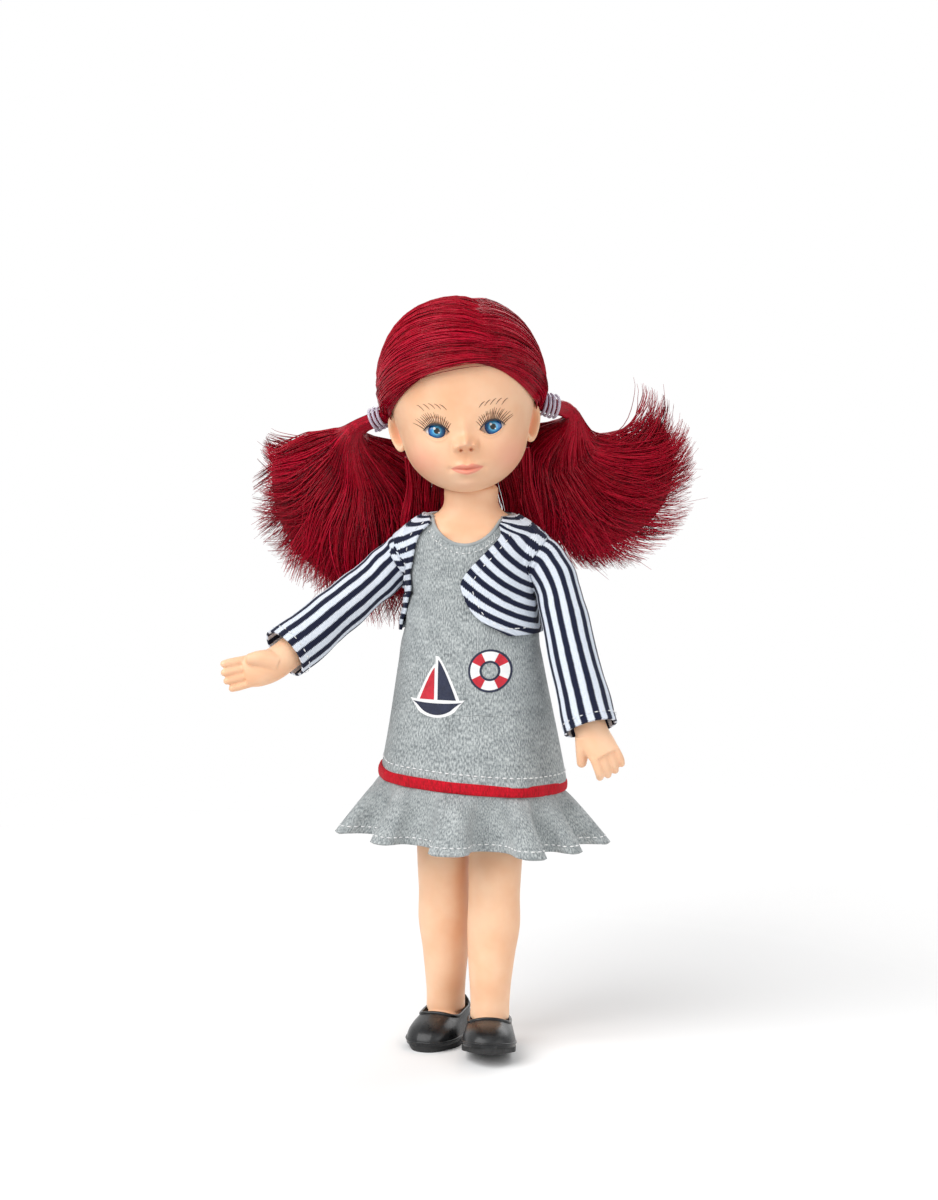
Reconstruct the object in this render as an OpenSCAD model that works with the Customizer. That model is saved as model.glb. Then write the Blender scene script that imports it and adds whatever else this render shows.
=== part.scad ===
// A 21 cm vinyl play doll in a knit dress with a ruffle, a striped bolero and ballet flats.
// The body faces -Y, its own left side is +X, Z is up and the floor is z = 0. Sizes in mm, angles in degrees.

/* [Pose] */
// Turn of the head toward its own left
head_turn = 12; // [-30:1:30]
// Lean of the head toward its own right shoulder
head_lean = 4.5; // [0:0.5:6]
// Forward swing of the left arm from hanging
left_arm_swing = 30; // [10:1:100]
// Forward swing of the right arm from hanging
right_arm_swing = 78; // [10:1:100]
// Turn of each foot outward
toe_out = 6; // [0:1:10]
// Setback of the body behind the middle of the stance
stance_back = 1; // [-2:0.1:4]
// Shift of the body toward its own left
stance_side = 2.6; // [0:0.1:5]

/* [Head] */
// Rise of the widest level of the head above the neck pivot
head_rise = 34; // [32:0.5:36]
// Half the width of the head
head_half_width = 20.6; // [19.5:0.1:21.5]
// Reach of the forehead in front of the neck axis
head_front = 20.6; // [19.5:0.1:21.5]
// Reach of the back of the head behind the neck axis
head_back = 23; // [22:0.1:24]
// Drop of the chin below the widest level
chin_drop = 28; // [27:0.1:29]
// Rise of the scalp above the widest level
crown_rise = 23; // [22:0.1:24]
// Reach of the tip of the nose
nose_reach = 3.3; // [2:0.1:4]
// Radius of the hollow in the head
head_hollow_radius = 15.2; // [13:0.1:15.5]
// Height of an ear
ear_height = 13; // [11:0.5:16]
// Inset of the ears from the sides of the head
ear_inset = 1.5; // [0:0.1:2]

/* [Eyes] */
// Radius of each eye
eye_radius = 4.2; // [3.8:0.1:4.5]
// Distance of each eye from the middle of the face
eye_offset = 7.7; // [7:0.1:8.2]
// Drop of the eyes below the widest level of the head
eye_drop = 10; // [9:0.1:11]
// Setback of the eye centres in front of the neck axis
eye_front = 13.6; // [13.2:0.1:14]

/* [Hair] */
// Thickness of the combed hair on the crown
hair_thick = 2.3; // [1.5:0.1:3]
// Length of the left pigtail
left_pigtail_length = 53; // [48:0.5:56]
// Length of the right pigtail
right_pigtail_length = 60; // [54:0.5:64]
// Half thickness of a pigtail
pigtail_half_thick = 7; // [5:0.1:7.5]
// Setback of the pigtails behind the ties
pigtail_back = 13; // [12:0.1:15]
// Distance of each tie from the middle of the head
tie_offset = 22.6; // [22.2:0.1:24]
// Drop of the ties below the widest level of the head
tie_drop = 6; // [4:0.1:8]
// Setback of the ties behind the neck axis
tie_back = 8; // [7:0.1:10]
// Downward slope of the hair bundle at a tie
tie_droop = 18; // [10:1:25]
// Radius of the hair bundle inside a tie
tie_bundle_radius = 2.1; // [1.6:0.1:2.2]
// Turns of elastic in each tie
tie_turns = 3.5; // [2:0.5:4]
// Thickness of the elastic thread
elastic_thick = 0.9; // [0.7:0.05:1]
// Rise of the elastic in one turn
elastic_pitch = 1.36; // [1.3:0.01:1.5]

/* [Torso] */
// Height of the neck pivot
neck_z = 150; // [149.5:0.1:150.5]
// Radius of the neck
neck_radius = 7.5; // [7:0.1:7.8]
// Radius of the ball end of the neck
neck_ball_radius = 10; // [9.5:0.1:10.2]
// Half the width of the hips
hip_half_width = 17; // [16:0.1:18]
// Half the depth of the hips
hip_half_depth = 12.4; // [11.5:0.1:13]
// Half the width of the waist
waist_half_width = 15.4; // [14.5:0.1:16]
// Half the depth of the waist
waist_half_depth = 11.4; // [10.5:0.1:12]
// Half the width of the shoulders
shoulder_half_width = 18.8; // [18.4:0.1:19.2]
// Half the depth of the chest
chest_half_depth = 10.4; // [9.6:0.1:10.8]
// Height of the crotch
crotch_z = 74; // [73:0.1:75]
// Thickness of the vinyl wall
wall = 1.7; // [1.4:0.1:2]

/* [Joints] */
// Height of the shoulder joints
shoulder_z = 138; // [137.5:0.1:138.5]
// Distance of the shoulder joints from the middle
shoulder_x = 17.2; // [17:0.1:17.6]
// Downward slope of the shoulder axes
shoulder_cant = 33; // [31:0.5:35]
// Radius of the shoulder stub
shoulder_stub_radius = 2.6; // [2.2:0.05:2.8]
// Radius of the flange on the shoulder stub
shoulder_flange_radius = 3.8; // [3.4:0.1:4]
// Height of the hip joints
hip_z = 86; // [85.5:0.1:86.5]
// Distance of the hip joints from the middle
hip_x = 9.2; // [9:0.1:9.6]
// Downward slope of the hip axes
hip_cant = 30; // [28:0.5:32]
// Radius of the hip stub
hip_stub_radius = 3.6; // [3:0.05:4]
// Radius of the flange on the hip stub
hip_flange_radius = 5.2; // [4.8:0.1:5.6]
// Thickness of the joint flanges
flange_thick = 1.4; // [1:0.1:1.6]
// Radius of the stem of the neck plug
plug_stem_radius = 4; // [3.4:0.05:4.2]
// Radius of the flanges of the neck plug
plug_flange_radius = 6; // [5.6:0.1:6.2]

/* [Arms] */
// Length of the arm from the shoulder bend to the wrist
arm_length = 47; // [44:0.5:49]
// Length of the palm
palm_length = 8.4; // [8:0.1:10]
// Length of the longest finger
finger_length = 6; // [5:0.1:7]
// Radius of a finger
finger_radius = 1.25; // [1:0.05:1.35]
// Radius of the upper arm
upper_arm_radius = 4.9; // [4.4:0.1:5.1]
// Radius of the wrist
wrist_radius = 4.2; // [3.2:0.1:4.4]
// Angle between the shoulder axis and the arm
arm_cone = 43.5; // [42:0.5:44.5]
// Angle between the shoulder axis and the hand
hand_cone = 26; // [24:0.5:30]

/* [Legs] */
// Radius of the thigh
thigh_radius = 7.7; // [7:0.1:7.9]
// Radius of the calf
calf_radius = 7.4; // [6.8:0.1:7.6]
// Radius of the ankle
ankle_radius = 5.5; // [5:0.1:5.6]
// Distance of each thigh's axis from the middle
leg_x = 8.5; // [8.4:0.1:9]

/* [Shoes] */
// Half the width of a shoe at the ball of the foot
shoe_half_width = 7.4; // [7.2:0.1:7.6]
// Reach of the toe in front of the leg's axis
toe_reach = 20; // [18.5:0.1:21.5]
// Reach of the flat sole behind the leg's axis
heel_reach = 6.6; // [6:0.1:7]
// Height of the shoe at the heel
heel_height = 11.4; // [10.5:0.1:12]
// Thickness of a sole
sole_thick = 1.6; // [1.2:0.1:2]
// Thickness of a shoe's upper
upper_thick = 0.8; // [0.6:0.05:0.9]

/* [Dress] */
// Thickness of the jersey
jersey_thick = 0.7; // [0.5:0.05:0.8]
// Half the width of the tunic under the arms
bust_half_width = 16.8; // [16.6:0.1:17]
// Half the depth of the tunic under the arms
bust_half_depth = 11.8; // [11.5:0.1:12]
// Half the width of the tunic at its hem
hem_half_width = 26; // [25:0.1:27]
// Half the depth of the tunic at its hem
hem_half_depth = 20.6; // [20:0.1:21.5]
// Height of the tunic's hem in the middle
hem_z = 76.5; // [75.5:0.1:78]
// Lean of the hem, lower on the body's left
hem_lean = 4; // [0:0.5:5]
// Radius of the piping
piping_radius = 1.3; // [1:0.05:1.5]
// Slanted drop of the ruffle
ruffle_drop = 15; // [13:0.1:16]
// Outward reach of the ruffle beyond the tunic's hem
ruffle_flare = 7; // [6:0.1:11.5]
// Number of folds in the ruffle
ruffle_folds = 11; // [8:1:12]
// Depth of the ruffle's folds at its edge
fold_depth = 2.3; // [1:0.1:2.6]
// Radius of the neckline
neckline_radius = 10.8; // [10.4:0.1:11.2]

/* [Bolero] */
// Thickness of the bolero's cloth
bolero_thick = 0.8; // [0.6:0.05:0.9]
// Height of the bolero's lower edge
bolero_z = 117; // [116:0.5:119]
// Radius of a sleeve where it is sewn in
sleeve_head_radius = 6.8; // [6.6:0.05:6.9]
// Radius of a sleeve at its cuff
cuff_radius = 7.5; // [7:0.1:8]
// Length of the left sleeve below the shoulder bend
left_sleeve_length = 45; // [42:0.5:46]
// Length of the right sleeve below the shoulder bend
right_sleeve_length = 41; // [38:0.5:44]

/* [Clearances] */
// Play between a stub and its bore
bore_play = 0.06; // [0.04:0.01:0.1]
// Gap between the faces of a joint
face_gap = 0.2; // [0.15:0.05:0.3]
// Gap between the head's seat and the neck's ball end
seat_gap = 0.4; // [0.3:0.05:0.5]
// Gap between a leg or a shoe and the plane between the legs
leg_gap = 0.4; // [0.3:0.05:0.5]
// Gap between an eye and its pocket
pocket_gap = 0.15; // [0.1:0.05:0.2]
// Gap between layers of cloth or between cloth and vinyl
cloth_gap = 0.4; // [0.35:0.05:0.5]
// Gap between the dress and the bolero
bolero_gap = 0.65; // [0.6:0.05:0.7]
// Gap between the hair and the scalp
hair_gap = 0.5; // [0.45:0.05:0.6]

/* [Hidden] */
$fn = 48;

left = 1;
right = -1;
far = 60;
forward = [0, -1, 0];
up = [0, 0, 1];
skin_color = [0.93, 0.72, 0.61];
hair_color = [0.55, 0.05, 0.08];
jersey_color = [0.72, 0.72, 0.73];
stripe_color = [0.20, 0.22, 0.40];
shoe_color = [0.08, 0.08, 0.08];
white_color = [0.95, 0.95, 0.95];
red_color = [0.72, 0.08, 0.12];

waist_z = mix(hip_z, shoulder_z, 0.46);
chest_z = shoulder_z - 11;
shoulder_top_z = shoulder_z + 6;
head_mid_z = neck_z + head_rise;
eye_z = head_mid_z - eye_drop;
tie_z = head_mid_z - tie_drop;
chin_z = head_mid_z - chin_drop;
crown_z = head_mid_z + crown_rise;
shoulder_bend = 7.5;
// Places along the arm and the sleeve that their middle lines pass
upper_near = 6;
upper_far = 18;
forearm_back = 14;
wrist_back = 4;
wrist_lift = 2;
cuff_back = 5;
cuff_lift = 0.3;
heel_radius = shoe_half_width - 1;
heel_edge = sqrt(2 * heel_radius - 1);
// The angle at which the back corner of the swung foot's sole meets the floor
stride = 2 * atan((heel_reach * cos(toe_out) + heel_edge * sin(toe_out)) / (hip_z * cos(hip_cant)));
head_sides = 36;
body_sides = 24;
shoe_sides = 16;
head_squareness = 0.95;
cloth_squareness = 0.92;
arm_socket_radius = sleeve_head_radius + cloth_gap;
arm_face_radius = 5.4;
hip_face_radius = 9;
plug_hole_play = 1.2;
armhole_radius = sleeve_head_radius + 3.5 * cloth_gap;
hand_twist = 60;
root_depth = 2.4;
root_span = 58;
tie_start = -1;
eye_back = 1.6;

torso_stations = [
    [crotch_z, 3, 5, 0.5],
    [crotch_z + 3, 9, 9, 0.5],
    [hip_z - 4, hip_half_width - 2, hip_half_depth - 0.6, 0.5],
    [hip_z + 3, hip_half_width, hip_half_depth, 0.5],
    [mix(hip_z, waist_z, 0.6), mix(hip_half_width, waist_half_width, 0.5), hip_half_depth - 0.4, 0],
    [waist_z, waist_half_width, waist_half_depth, -0.5],
    [chest_z - 8, waist_half_width, mix(waist_half_depth, chest_half_depth, 0.4), -0.5],
    [chest_z, waist_half_width + 0.6, chest_half_depth + 0.3, -0.2],
    [shoulder_z - 4, shoulder_half_width - 1.6, chest_half_depth, 0.2],
    [shoulder_z + 2, shoulder_half_width, chest_half_depth - 0.8, 0.4],
    [shoulder_top_z, shoulder_half_width - 0.6, chest_half_depth - 1.6, 0.4],
    [neck_z - 2.6, shoulder_half_width - 5, neck_radius + 0.9, 0.3],
    [neck_z - 0.4, neck_radius + 2.2, neck_radius + 0.4, 0.1],
    [neck_z + 2, neck_radius + 0.2, neck_radius, 0],
    [neck_z + 6.6, neck_radius, neck_radius, 0]];
briefs_rise = 12;
seat_levels = [crotch_z, crotch_z + 1.5, crotch_z + 4, hip_z - 3, hip_z + 3, hip_z + briefs_rise];
shoe_stations = [
    [-toe_reach, 2, 3.6],
    [1.5 - toe_reach, 4.6, 5.2],
    [4.5 - toe_reach, shoe_half_width - 0.9, 6.8],
    [9 - toe_reach, shoe_half_width, 8],
    [-5, shoe_half_width - 0.2, heel_height - 2],
    [1, shoe_half_width - 0.5, heel_height - 0.8],
    [heel_reach - 2, shoe_half_width - 1.1, heel_height],
    [heel_reach + 0.6, shoe_half_width - 2.4, heel_height],
    [heel_reach + 1.6, shoe_half_width - 4.6, heel_height - 0.6]];
// Distance of each ankle's axis from the middle, so that the shoes clear each other
foot_x = leg_gap + max([for (s = shoe_stations) s[1] * cos(toe_out) + s[0] * sin(toe_out)]);
shoe_steps = [-toe_reach, 0.7 - toe_reach, 1.6 - toe_reach, 3.5 - toe_reach, 7 - toe_reach, 11 - toe_reach,
              -5, 0, heel_reach - 1.5, heel_reach - 0.2, heel_reach + 0.8, heel_reach + 1.6];

function clamp01(t) = min(1, max(0, t));
function smooth(t) = let (u = clamp01(t)) u * u * (3 - 2 * u);
function mix(a, b, t) = a + (b - a) * t;
function unit(v) = v / norm(v);
function power(c, p) = sign(c) * pow(abs(c), p);
function bell(t) = exp(-t * t);
function middle(ring) = [for (c = [0 : 2]) sum([for (p = ring) p[c]]) / len(ring)];
function sum(list) = list * [for (i = list) 1];

// Smooth reading of one column of a station table
function slope(t, i, c) =
    let (a = max(0, i - 1), b = min(len(t) - 1, i + 1)) (t[b][c] - t[a][c]) / (t[b][0] - t[a][0]);
function segment(t, x, i = 0) = i >= len(t) - 2 || x <= t[i + 1][0] ? i : segment(t, x, i + 1);
function cubic(p, q, m, n, u) =
    (2 * u * u * u - 3 * u * u + 1) * p + (u * u * u - 2 * u * u + u) * m +
    (3 * u * u - 2 * u * u * u) * q + (u * u * u - u * u) * n;
function at(t, x, c) =
    let (i = segment(t, x), h = t[i + 1][0] - t[i][0])
    cubic(t[i][c], t[i + 1][c], slope(t, i, c) * h, slope(t, i + 1, c) * h, clamp01((x - t[i][0]) / h));

// Smooth curve through a list of points
function curve(k, u) =
    let (i = min(len(k) - 2, floor(u)), a = max(0, i - 1), b = min(len(k) - 1, i + 2))
    cubic(k[i], k[i + 1], (k[i + 1] - k[a]) / (i + 1 - a), (k[b] - k[i]) / (b - i), u - i);
function heading(k, u) = unit(curve(k, min(len(k) - 1, u + 0.02)) - curve(k, max(0, u - 0.02)));

// Six times the signed volume that a list of triangles closes in
function swept_volume(p, f) = sum([for (t = f) p[t[0]] * cross(p[t[1]], p[t[2]])]);

// A solid from triangles, turned the right way out
module closed_solid(p, f) {
    polyhedron(p, swept_volume(p, f) > 0 ? [for (t = f) [t[0], t[2], t[1]]] : f, convexity = 8);
}

function band(i, j, k, l) = [[i, j, l], [i, l, k]];

// A solid through a stack of rings, closed at both ends
module stack(rings) {
    n = len(rings[0]);
    m = len(rings);
    p = concat([for (r = rings) each r], [middle(rings[0]), middle(rings[m - 1])]);
    closed_solid(p, concat(
        [for (i = [0 : m - 2], k = [0 : n - 1]) each
            band(i * n + k, i * n + (k + 1) % n, (i + 1) * n + k, (i + 1) * n + (k + 1) % n)],
        [for (k = [0 : n - 1]) [m * n, (k + 1) % n, k]],
        [for (k = [0 : n - 1]) [m * n + 1, (m - 1) * n + k, (m - 1) * n + (k + 1) % n]]));
}

// A sheet of cloth between two grids of points, closed along its edges; round joins the last column to the first
module sheet(outer, inner, round = false) {
    n = len(outer[0]);
    m = len(outer);
    s = m * n;
    last = round ? n - 1 : n - 2;
    p = concat([for (r = outer) each r], [for (r = inner) each r]);
    closed_solid(p, concat(
        [for (i = [0 : m - 2], k = [0 : last]) each
            band(i * n + k, i * n + (k + 1) % n, (i + 1) * n + k, (i + 1) * n + (k + 1) % n)],
        [for (i = [0 : m - 2], k = [0 : last]) each
            band(s + i * n + (k + 1) % n, s + i * n + k, s + (i + 1) * n + (k + 1) % n, s + (i + 1) * n + k)],
        [for (k = [0 : last]) each band(s + k, s + (k + 1) % n, k, (k + 1) % n)],
        [for (k = [0 : last]) each let (e = (m - 1) * n)
            band(e + k, e + (k + 1) % n, s + e + k, s + e + (k + 1) % n)],
        round ? [] : [for (i = [0 : m - 2]) each band(i * n, (i + 1) * n, s + i * n, s + (i + 1) * n)],
        round ? [] : [for (i = [0 : m - 2]) each let (e = n - 1)
            band(s + i * n + e, s + (i + 1) * n + e, i * n + e, (i + 1) * n + e)]));
}

// A tube through a list of ring grids that closes on itself
module hoop(rings) {
    n = len(rings[0]);
    m = len(rings);
    closed_solid([for (r = rings) each r],
        [for (i = [0 : m - 1], k = [0 : n - 1]) let (j = (i + 1) % m) each
            band(i * n + k, i * n + (k + 1) % n, j * n + k, j * n + (k + 1) % n)]);
}

// Puts local Z on a direction
module aim(origin, direction) {
    d = unit(direction);
    translate(origin) rotate([0, acos(d[2]), atan2(d[1], d[0])]) children();
}

module in_stance() { translate([stance_side, stance_back, 0]) children(); }

module on_head() {
    in_stance() translate([0, 0, neck_z]) rotate([0, -head_lean, 0]) rotate([0, 0, head_turn])
        translate([0, 0, -neck_z]) children();
}

function shoulder(side) = [side * shoulder_x, 0, shoulder_z];
function shoulder_axis(side) = [side * cos(shoulder_cant), 0, -sin(shoulder_cant)];
function hip(side) = [side * hip_x, 0, hip_z];
function hip_axis(side) = [side * cos(hip_cant), 0, -sin(hip_cant)];

module on_leg(side, swing) {
    in_stance() translate(hip(side)) rotate(a = -side * swing, v = hip_axis(side)) translate(-hip(side)) children();
}

// Everything on the outer side of a hip joint's face
module beyond_hip(side, gap) {
    aim(hip(side), hip_axis(side)) translate([-far, -far, gap]) cube([2 * far, 2 * far, far]);
}

// Head

function head_share(z, p) = z > head_mid_z
    ? pow(max(0, 1 - pow((z - head_mid_z) / crown_rise, 2.2)), 1 / 2.2)
    : pow(max(0, 1 - pow((head_mid_z - z) / chin_drop, p)), 1 / p);
function face_relief(x, z) =
    nose_reach * bell(x / 2) * bell((z - eye_z + 4.4) / 1.9)
    + 0.25 * nose_reach * bell(x / 1.7) * bell((z - eye_z) / 3.4)
    + 0.9 * bell(x / 3.4) * bell((z - eye_z + 11) / 1.6)
    + 0.9 * bell(x / 4) * bell((z - chin_z - 2.6) / 2.2)
    + 0.8 * bell((abs(x) - 10.5) / 5) * bell((z - chin_z - 9.5) / 5)
    - 1.1 * bell((abs(x) - eye_offset) / 4.2) * bell((z - eye_z) / 3);
function scalp_point(a, z) =
    let (x = head_half_width * head_share(z, 2.2) * power(cos(a), head_squareness), s = power(sin(a), head_squareness))
    [x, s < 0 ? head_front * head_share(z, 4.5) * s : head_back * head_share(z, 1.65) * s, z];
function head_point(a, z) =
    let (p = scalp_point(a, z)) [p[0], p[1] - face_relief(p[0], z) * smooth(-1.6 * sin(a)), z];
function crowded(k, n, pull) = let (u = 360 * k / n) u - pull * cos(u);

module head_blank() {
    shares = [0.99, 0.96, 0.91, 0.85, 0.79, 0.745, 0.69, 0.63, 0.57, 0.51, 0.45, 0.38, 0.3, 0.2, 0.06,
              -0.12, -0.3, -0.47, -0.63, -0.77, -0.89, -0.97];
    stack([for (t = shares) let (z = head_mid_z - t * (t > 0 ? chin_drop : crown_rise))
        [for (k = [0 : head_sides - 1]) head_point(crowded(k, head_sides, 26), z)]]);
}

module ear(side) {
    z = eye_z - 0.3;
    x = head_half_width * head_share(z, 2.2) - ear_inset;
    hull() {
        translate([side * (x - 1.6), 0.5, z]) sphere(1.6, $fn = 8);
        translate([side * (x + 0.7), 2.4, z + ear_height / 2 - 2]) sphere(1.7, $fn = 8);
        translate([side * (x + 0.9), 2.6, z]) sphere(1.7, $fn = 8);
        translate([side * (x - 1), 1.4, z - ear_height / 2 + 1.6]) sphere(1.5, $fn = 8);
    }
}

function eye_center(side) = [side * eye_offset, -eye_front, eye_z];

module head() {
    floor_z = neck_z + neck_ball_radius + seat_gap + wall + 0.6;
    color(skin_color) on_head() difference() {
        union() {
            head_blank();
            ear(left);
            ear(right);
        }
        translate([0, 2.5, head_mid_z + 2]) sphere(head_hollow_radius);
        translate([0, 0, floor_z]) cylinder(r = plug_flange_radius + 0.6, h = head_mid_z - floor_z);
        translate([0, 0, neck_z]) sphere(neck_ball_radius + seat_gap);
        translate([0, 0, neck_z]) cylinder(r = plug_stem_radius + bore_play, h = head_mid_z - neck_z);
        for (side = [left, right]) translate(eye_center(side)) sphere(eye_radius + pocket_gap);
    }
}

module eye(side) {
    color(white_color) on_head() translate(eye_center(side)) rotate([90, 0, 0]) rotate_extrude() intersection() {
        circle(eye_radius);
        translate([0, -eye_back]) square(far);
    }
}

// Hair

head_heart = [0, 1, head_mid_z - 2];

function hairline(a) = let (s = sin(a))
    eye_z + 9 + 9 * pow(max(0, -s), 1.5) - 22.5 * pow(max(0, s), 1.6);
function over_scalp(a, z, rise) = let (p = scalp_point(a, z)) p + rise * unit(p - head_heart);

module hair_cap() {
    n = 30;
    steps = [0.004, 0.05, 0.14, 0.25, 0.36, 0.47, 0.58, 0.68, 0.77, 0.85, 0.93, 1];
    function level(a, s) = mix(crown_z, hairline(a), s * s * 0.6 + s * 0.4);
    rises = [for (s = steps) hair_gap + 0.5 + hair_thick * (1 - pow(s, 5))];
    color(hair_color) on_head() difference() {
        stack(concat(
            [for (i = [0 : len(steps) - 1])
                [for (k = [0 : n - 1]) let (a = 360 * k / n) over_scalp(a, level(a, steps[i]), rises[i])]],
            [for (i = [len(steps) - 1 : -1 : 0])
                [for (k = [0 : n - 1]) let (a = 360 * k / n) over_scalp(a, level(a, steps[i]), hair_gap)]]));
        for (side = [left, right])
            aim(tie_point(side), tie_axis(side)) translate([0, 0, -root_depth - hair_gap])
                cylinder(r = tie_bundle_radius + hair_gap / 2, h = far);
    }
}

function tie_point(side) = [side * tie_offset, tie_back, tie_z];
function fan_low(side) = side == left ? -106 : -100;
function fan_high(side, s) = side == left ? -28 + 36 * s * s : -22 + 20 * s * s;
function in_plane(side, angle) = [side * cos(angle), 0, sin(angle)];
function tie_axis(side) = unit(in_plane(side, -tie_droop) + [0, 0.4, 0]);
function fan_length(side, angle) = side == left
    ? left_pigtail_length * (1 - pow((angle + 54.5) / 88, 2))
    : right_pigtail_length * (1 - pow(abs(angle + 87.5) / 138, 1.54));
function fan_point(side, s, v) =
    let (high = fan_high(side, s), low = fan_low(side),
         angle = mix(low, high, (1 + cos(v)) / 2),
         thick = pigtail_half_thick * (0.35 + s) * sqrt(max(0.02, 1 - pow(s, 6))),
         out = tie_point(side) + fan_length(side, angle) * s * in_plane(side, angle)
             + [0, pigtail_back * smooth(s / 0.42) + thick * power(sin(v), 0.9), 0],
         d = tie_axis(side), e = in_plane(side, 90 - tie_droop),
         root = tie_point(side) + (root_span * s - root_depth) * d
             + tie_bundle_radius * (cos(v) * e - side * sin(v) * cross(d, e)))
    mix(root, out, smooth((s - 0.14) / 0.26));

module pigtail(side) {
    steps = [0, 0.08, 0.14, 0.19, 0.24, 0.29, 0.35, 0.43, 0.53, 0.64, 0.75, 0.86, 0.95, 1];
    n = 11;
    // The front and the back of the hair meet along a thin edge
    function around(k) = mix(10, 170, k / n);
    color(hair_color) on_head()
        sheet([for (s = steps) [for (k = [0 : n]) fan_point(side, s, around(k))]],
              [for (s = steps) [for (k = [0 : n]) fan_point(side, s, -around(k))]]);
}

module hair_tie(side) {
    n = 6;
    r = elastic_thick / 2;
    coil_radius = tie_bundle_radius + hair_gap + r;
    slant = atan(elastic_pitch / (2 * PI * coil_radius));
    steps = ceil(tie_turns * 12);
    echo(str("least gap between turns of a hair tie: ", elastic_pitch * cos(slant) - elastic_thick));
    color([0.78, 0.75, 0.85]) on_head() aim(tie_point(side), tie_axis(side)) translate([0, 0, tie_start])
        stack([for (i = [0 : steps]) let (t = 360 * tie_turns * i / steps)
            [for (k = [0 : n - 1]) let (c = 360 * k / n, e = r * sin(c))
                [(coil_radius + r * cos(c)) * cos(t) + e * sin(slant) * sin(t),
                 (coil_radius + r * cos(c)) * sin(t) - e * sin(slant) * cos(t),
                 elastic_pitch * t / 360 + e * cos(slant)]]]);
}

// Torso

function torso_ring(z, grow, n = body_sides) =
    let (w = at(torso_stations, z, 1) + grow, d = at(torso_stations, z, 2) + grow, y = at(torso_stations, z, 3))
    [for (k = [0 : n - 1]) let (a = 360 * k / n)
        [w * power(cos(a), cloth_squareness), y + d * power(sin(a), cloth_squareness), z]];
function ball_ring(z, n = body_sides) = let (r = sqrt(pow(neck_ball_radius, 2) - pow(z - neck_z, 2)))
    [for (k = [0 : n - 1]) [r * cos(360 * k / n), r * sin(360 * k / n), z]];

// The part of the torso's wall round one shoulder that stays solid
module shoulder_boss(side) {
    aim(shoulder(side), shoulder_axis(side)) translate([0, 0, -wall]) cylinder(r = arm_socket_radius + wall, h = far);
}

module torso_hollow() {
    levels = [for (i = [0 : 7]) mix(crotch_z + 5, neck_z - 3, i / 7)];
    difference() {
        stack(concat([for (z = levels) torso_ring(z, -wall)],
            [torso_ring(neck_z + 1, -wall), torso_ring(neck_z + 6, -wall)]));
        shoulder_boss(left);
        shoulder_boss(right);
        beyond_hip(left, -wall);
        beyond_hip(right, -wall);
    }
}

module torso() {
    ball_foot = sqrt(pow(neck_ball_radius, 2) - pow(neck_radius, 2));
    levels = concat(seat_levels, [waist_z, chest_z - 8, chest_z, shoulder_z - 5, shoulder_z, shoulder_z + 3, shoulder_top_z,
              shoulder_top_z + 1.7, neck_z - 2.2, neck_z - 0.6, neck_z + 1, neck_z + 2.6, neck_z + 5]);
    color(skin_color) in_stance() difference() {
        stack(concat([for (z = levels) torso_ring(z, 0)],
            [for (t = [0, 0.35, 0.65, 0.9]) ball_ring(neck_z + mix(ball_foot, neck_ball_radius, t))]));
        torso_hollow();
        for (side = [left, right]) {
            aim(shoulder(side), shoulder_axis(side)) cylinder(r = arm_socket_radius, h = far);
            aim(shoulder(side) - 2 * wall * shoulder_axis(side), shoulder_axis(side))
                cylinder(r = shoulder_stub_radius + bore_play, h = far);
            aim(shoulder(side) - wall * shoulder_axis(side), -shoulder_axis(side))
                cylinder(r = shoulder_flange_radius + face_gap, h = flange_thick + 2 * face_gap);
            beyond_hip(side, 0);
            aim(hip(side) - 2 * wall * hip_axis(side), hip_axis(side))
                cylinder(r = hip_stub_radius + bore_play, h = far);
        }
        translate([0, 0, neck_z]) cylinder(r = plug_stem_radius + plug_hole_play, h = far);
    }
}

// The button that holds the head: one flange hangs in the neck, the other rests in the head
module neck_plug() {
    head_floor = neck_z + neck_ball_radius + seat_gap + wall + 0.6;
    neck_roof = neck_z + 5.2;
    color(white_color) on_head() {
        translate([0, 0, neck_roof]) cylinder(r = plug_stem_radius, h = head_floor + 0.4 - neck_roof);
        translate([0, 0, head_floor + 0.2]) cylinder(r = plug_flange_radius, h = flange_thick);
        translate([0, 0, neck_roof - flange_thick]) cylinder(r = plug_stem_radius + 0.9, h = flange_thick);
    }
}

// Arms

function arm_spoke(side, swing) = cos(swing) * [-side * sin(shoulder_cant), 0, -cos(shoulder_cant)] + sin(swing) * forward;
function arm_line(side, swing) =
    cos(arm_cone) * shoulder_axis(side) + sin(arm_cone) * arm_spoke(side, swing);
// The left hand hangs with its back to the front and its fingers bent, the right one shows its palm
function palm_faces(side) = side > 0 ? [-0.1, 0.74, -0.64] : [0.2, -0.97, 0.1];
function hand_droop(side) = side > 0 ? 0.5 : 0;
function finger_curl(side) = side > 0 ? 46 : 16;
function hand_line(side, swing) =
    unit(cos(hand_cone) * shoulder_axis(side) + sin(hand_cone) * arm_spoke(side, swing + hand_twist)
         - hand_droop(side) * [0, 0, 1]);
function palm_line(side, swing) =
    let (h = hand_line(side, swing), f = palm_faces(side)) unit(f - (f * h) * h);
function thumb_line(side, swing) = side * unit(cross(palm_line(side, swing), hand_line(side, swing)));
function arm_path(side, swing) =
    let (a = shoulder_axis(side), v = arm_line(side, swing), h = hand_line(side, swing),
         b = shoulder(side) + shoulder_bend * a)
    [shoulder(side) + face_gap * a, shoulder(side) + 0.62 * shoulder_bend * a, b + upper_near * v, b + upper_far * v,
     b + (arm_length - forearm_back) * v, b + (arm_length - wrist_back) * v, b + arm_length * v + wrist_lift * h,
     b + arm_length * v + palm_length * h];
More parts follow.
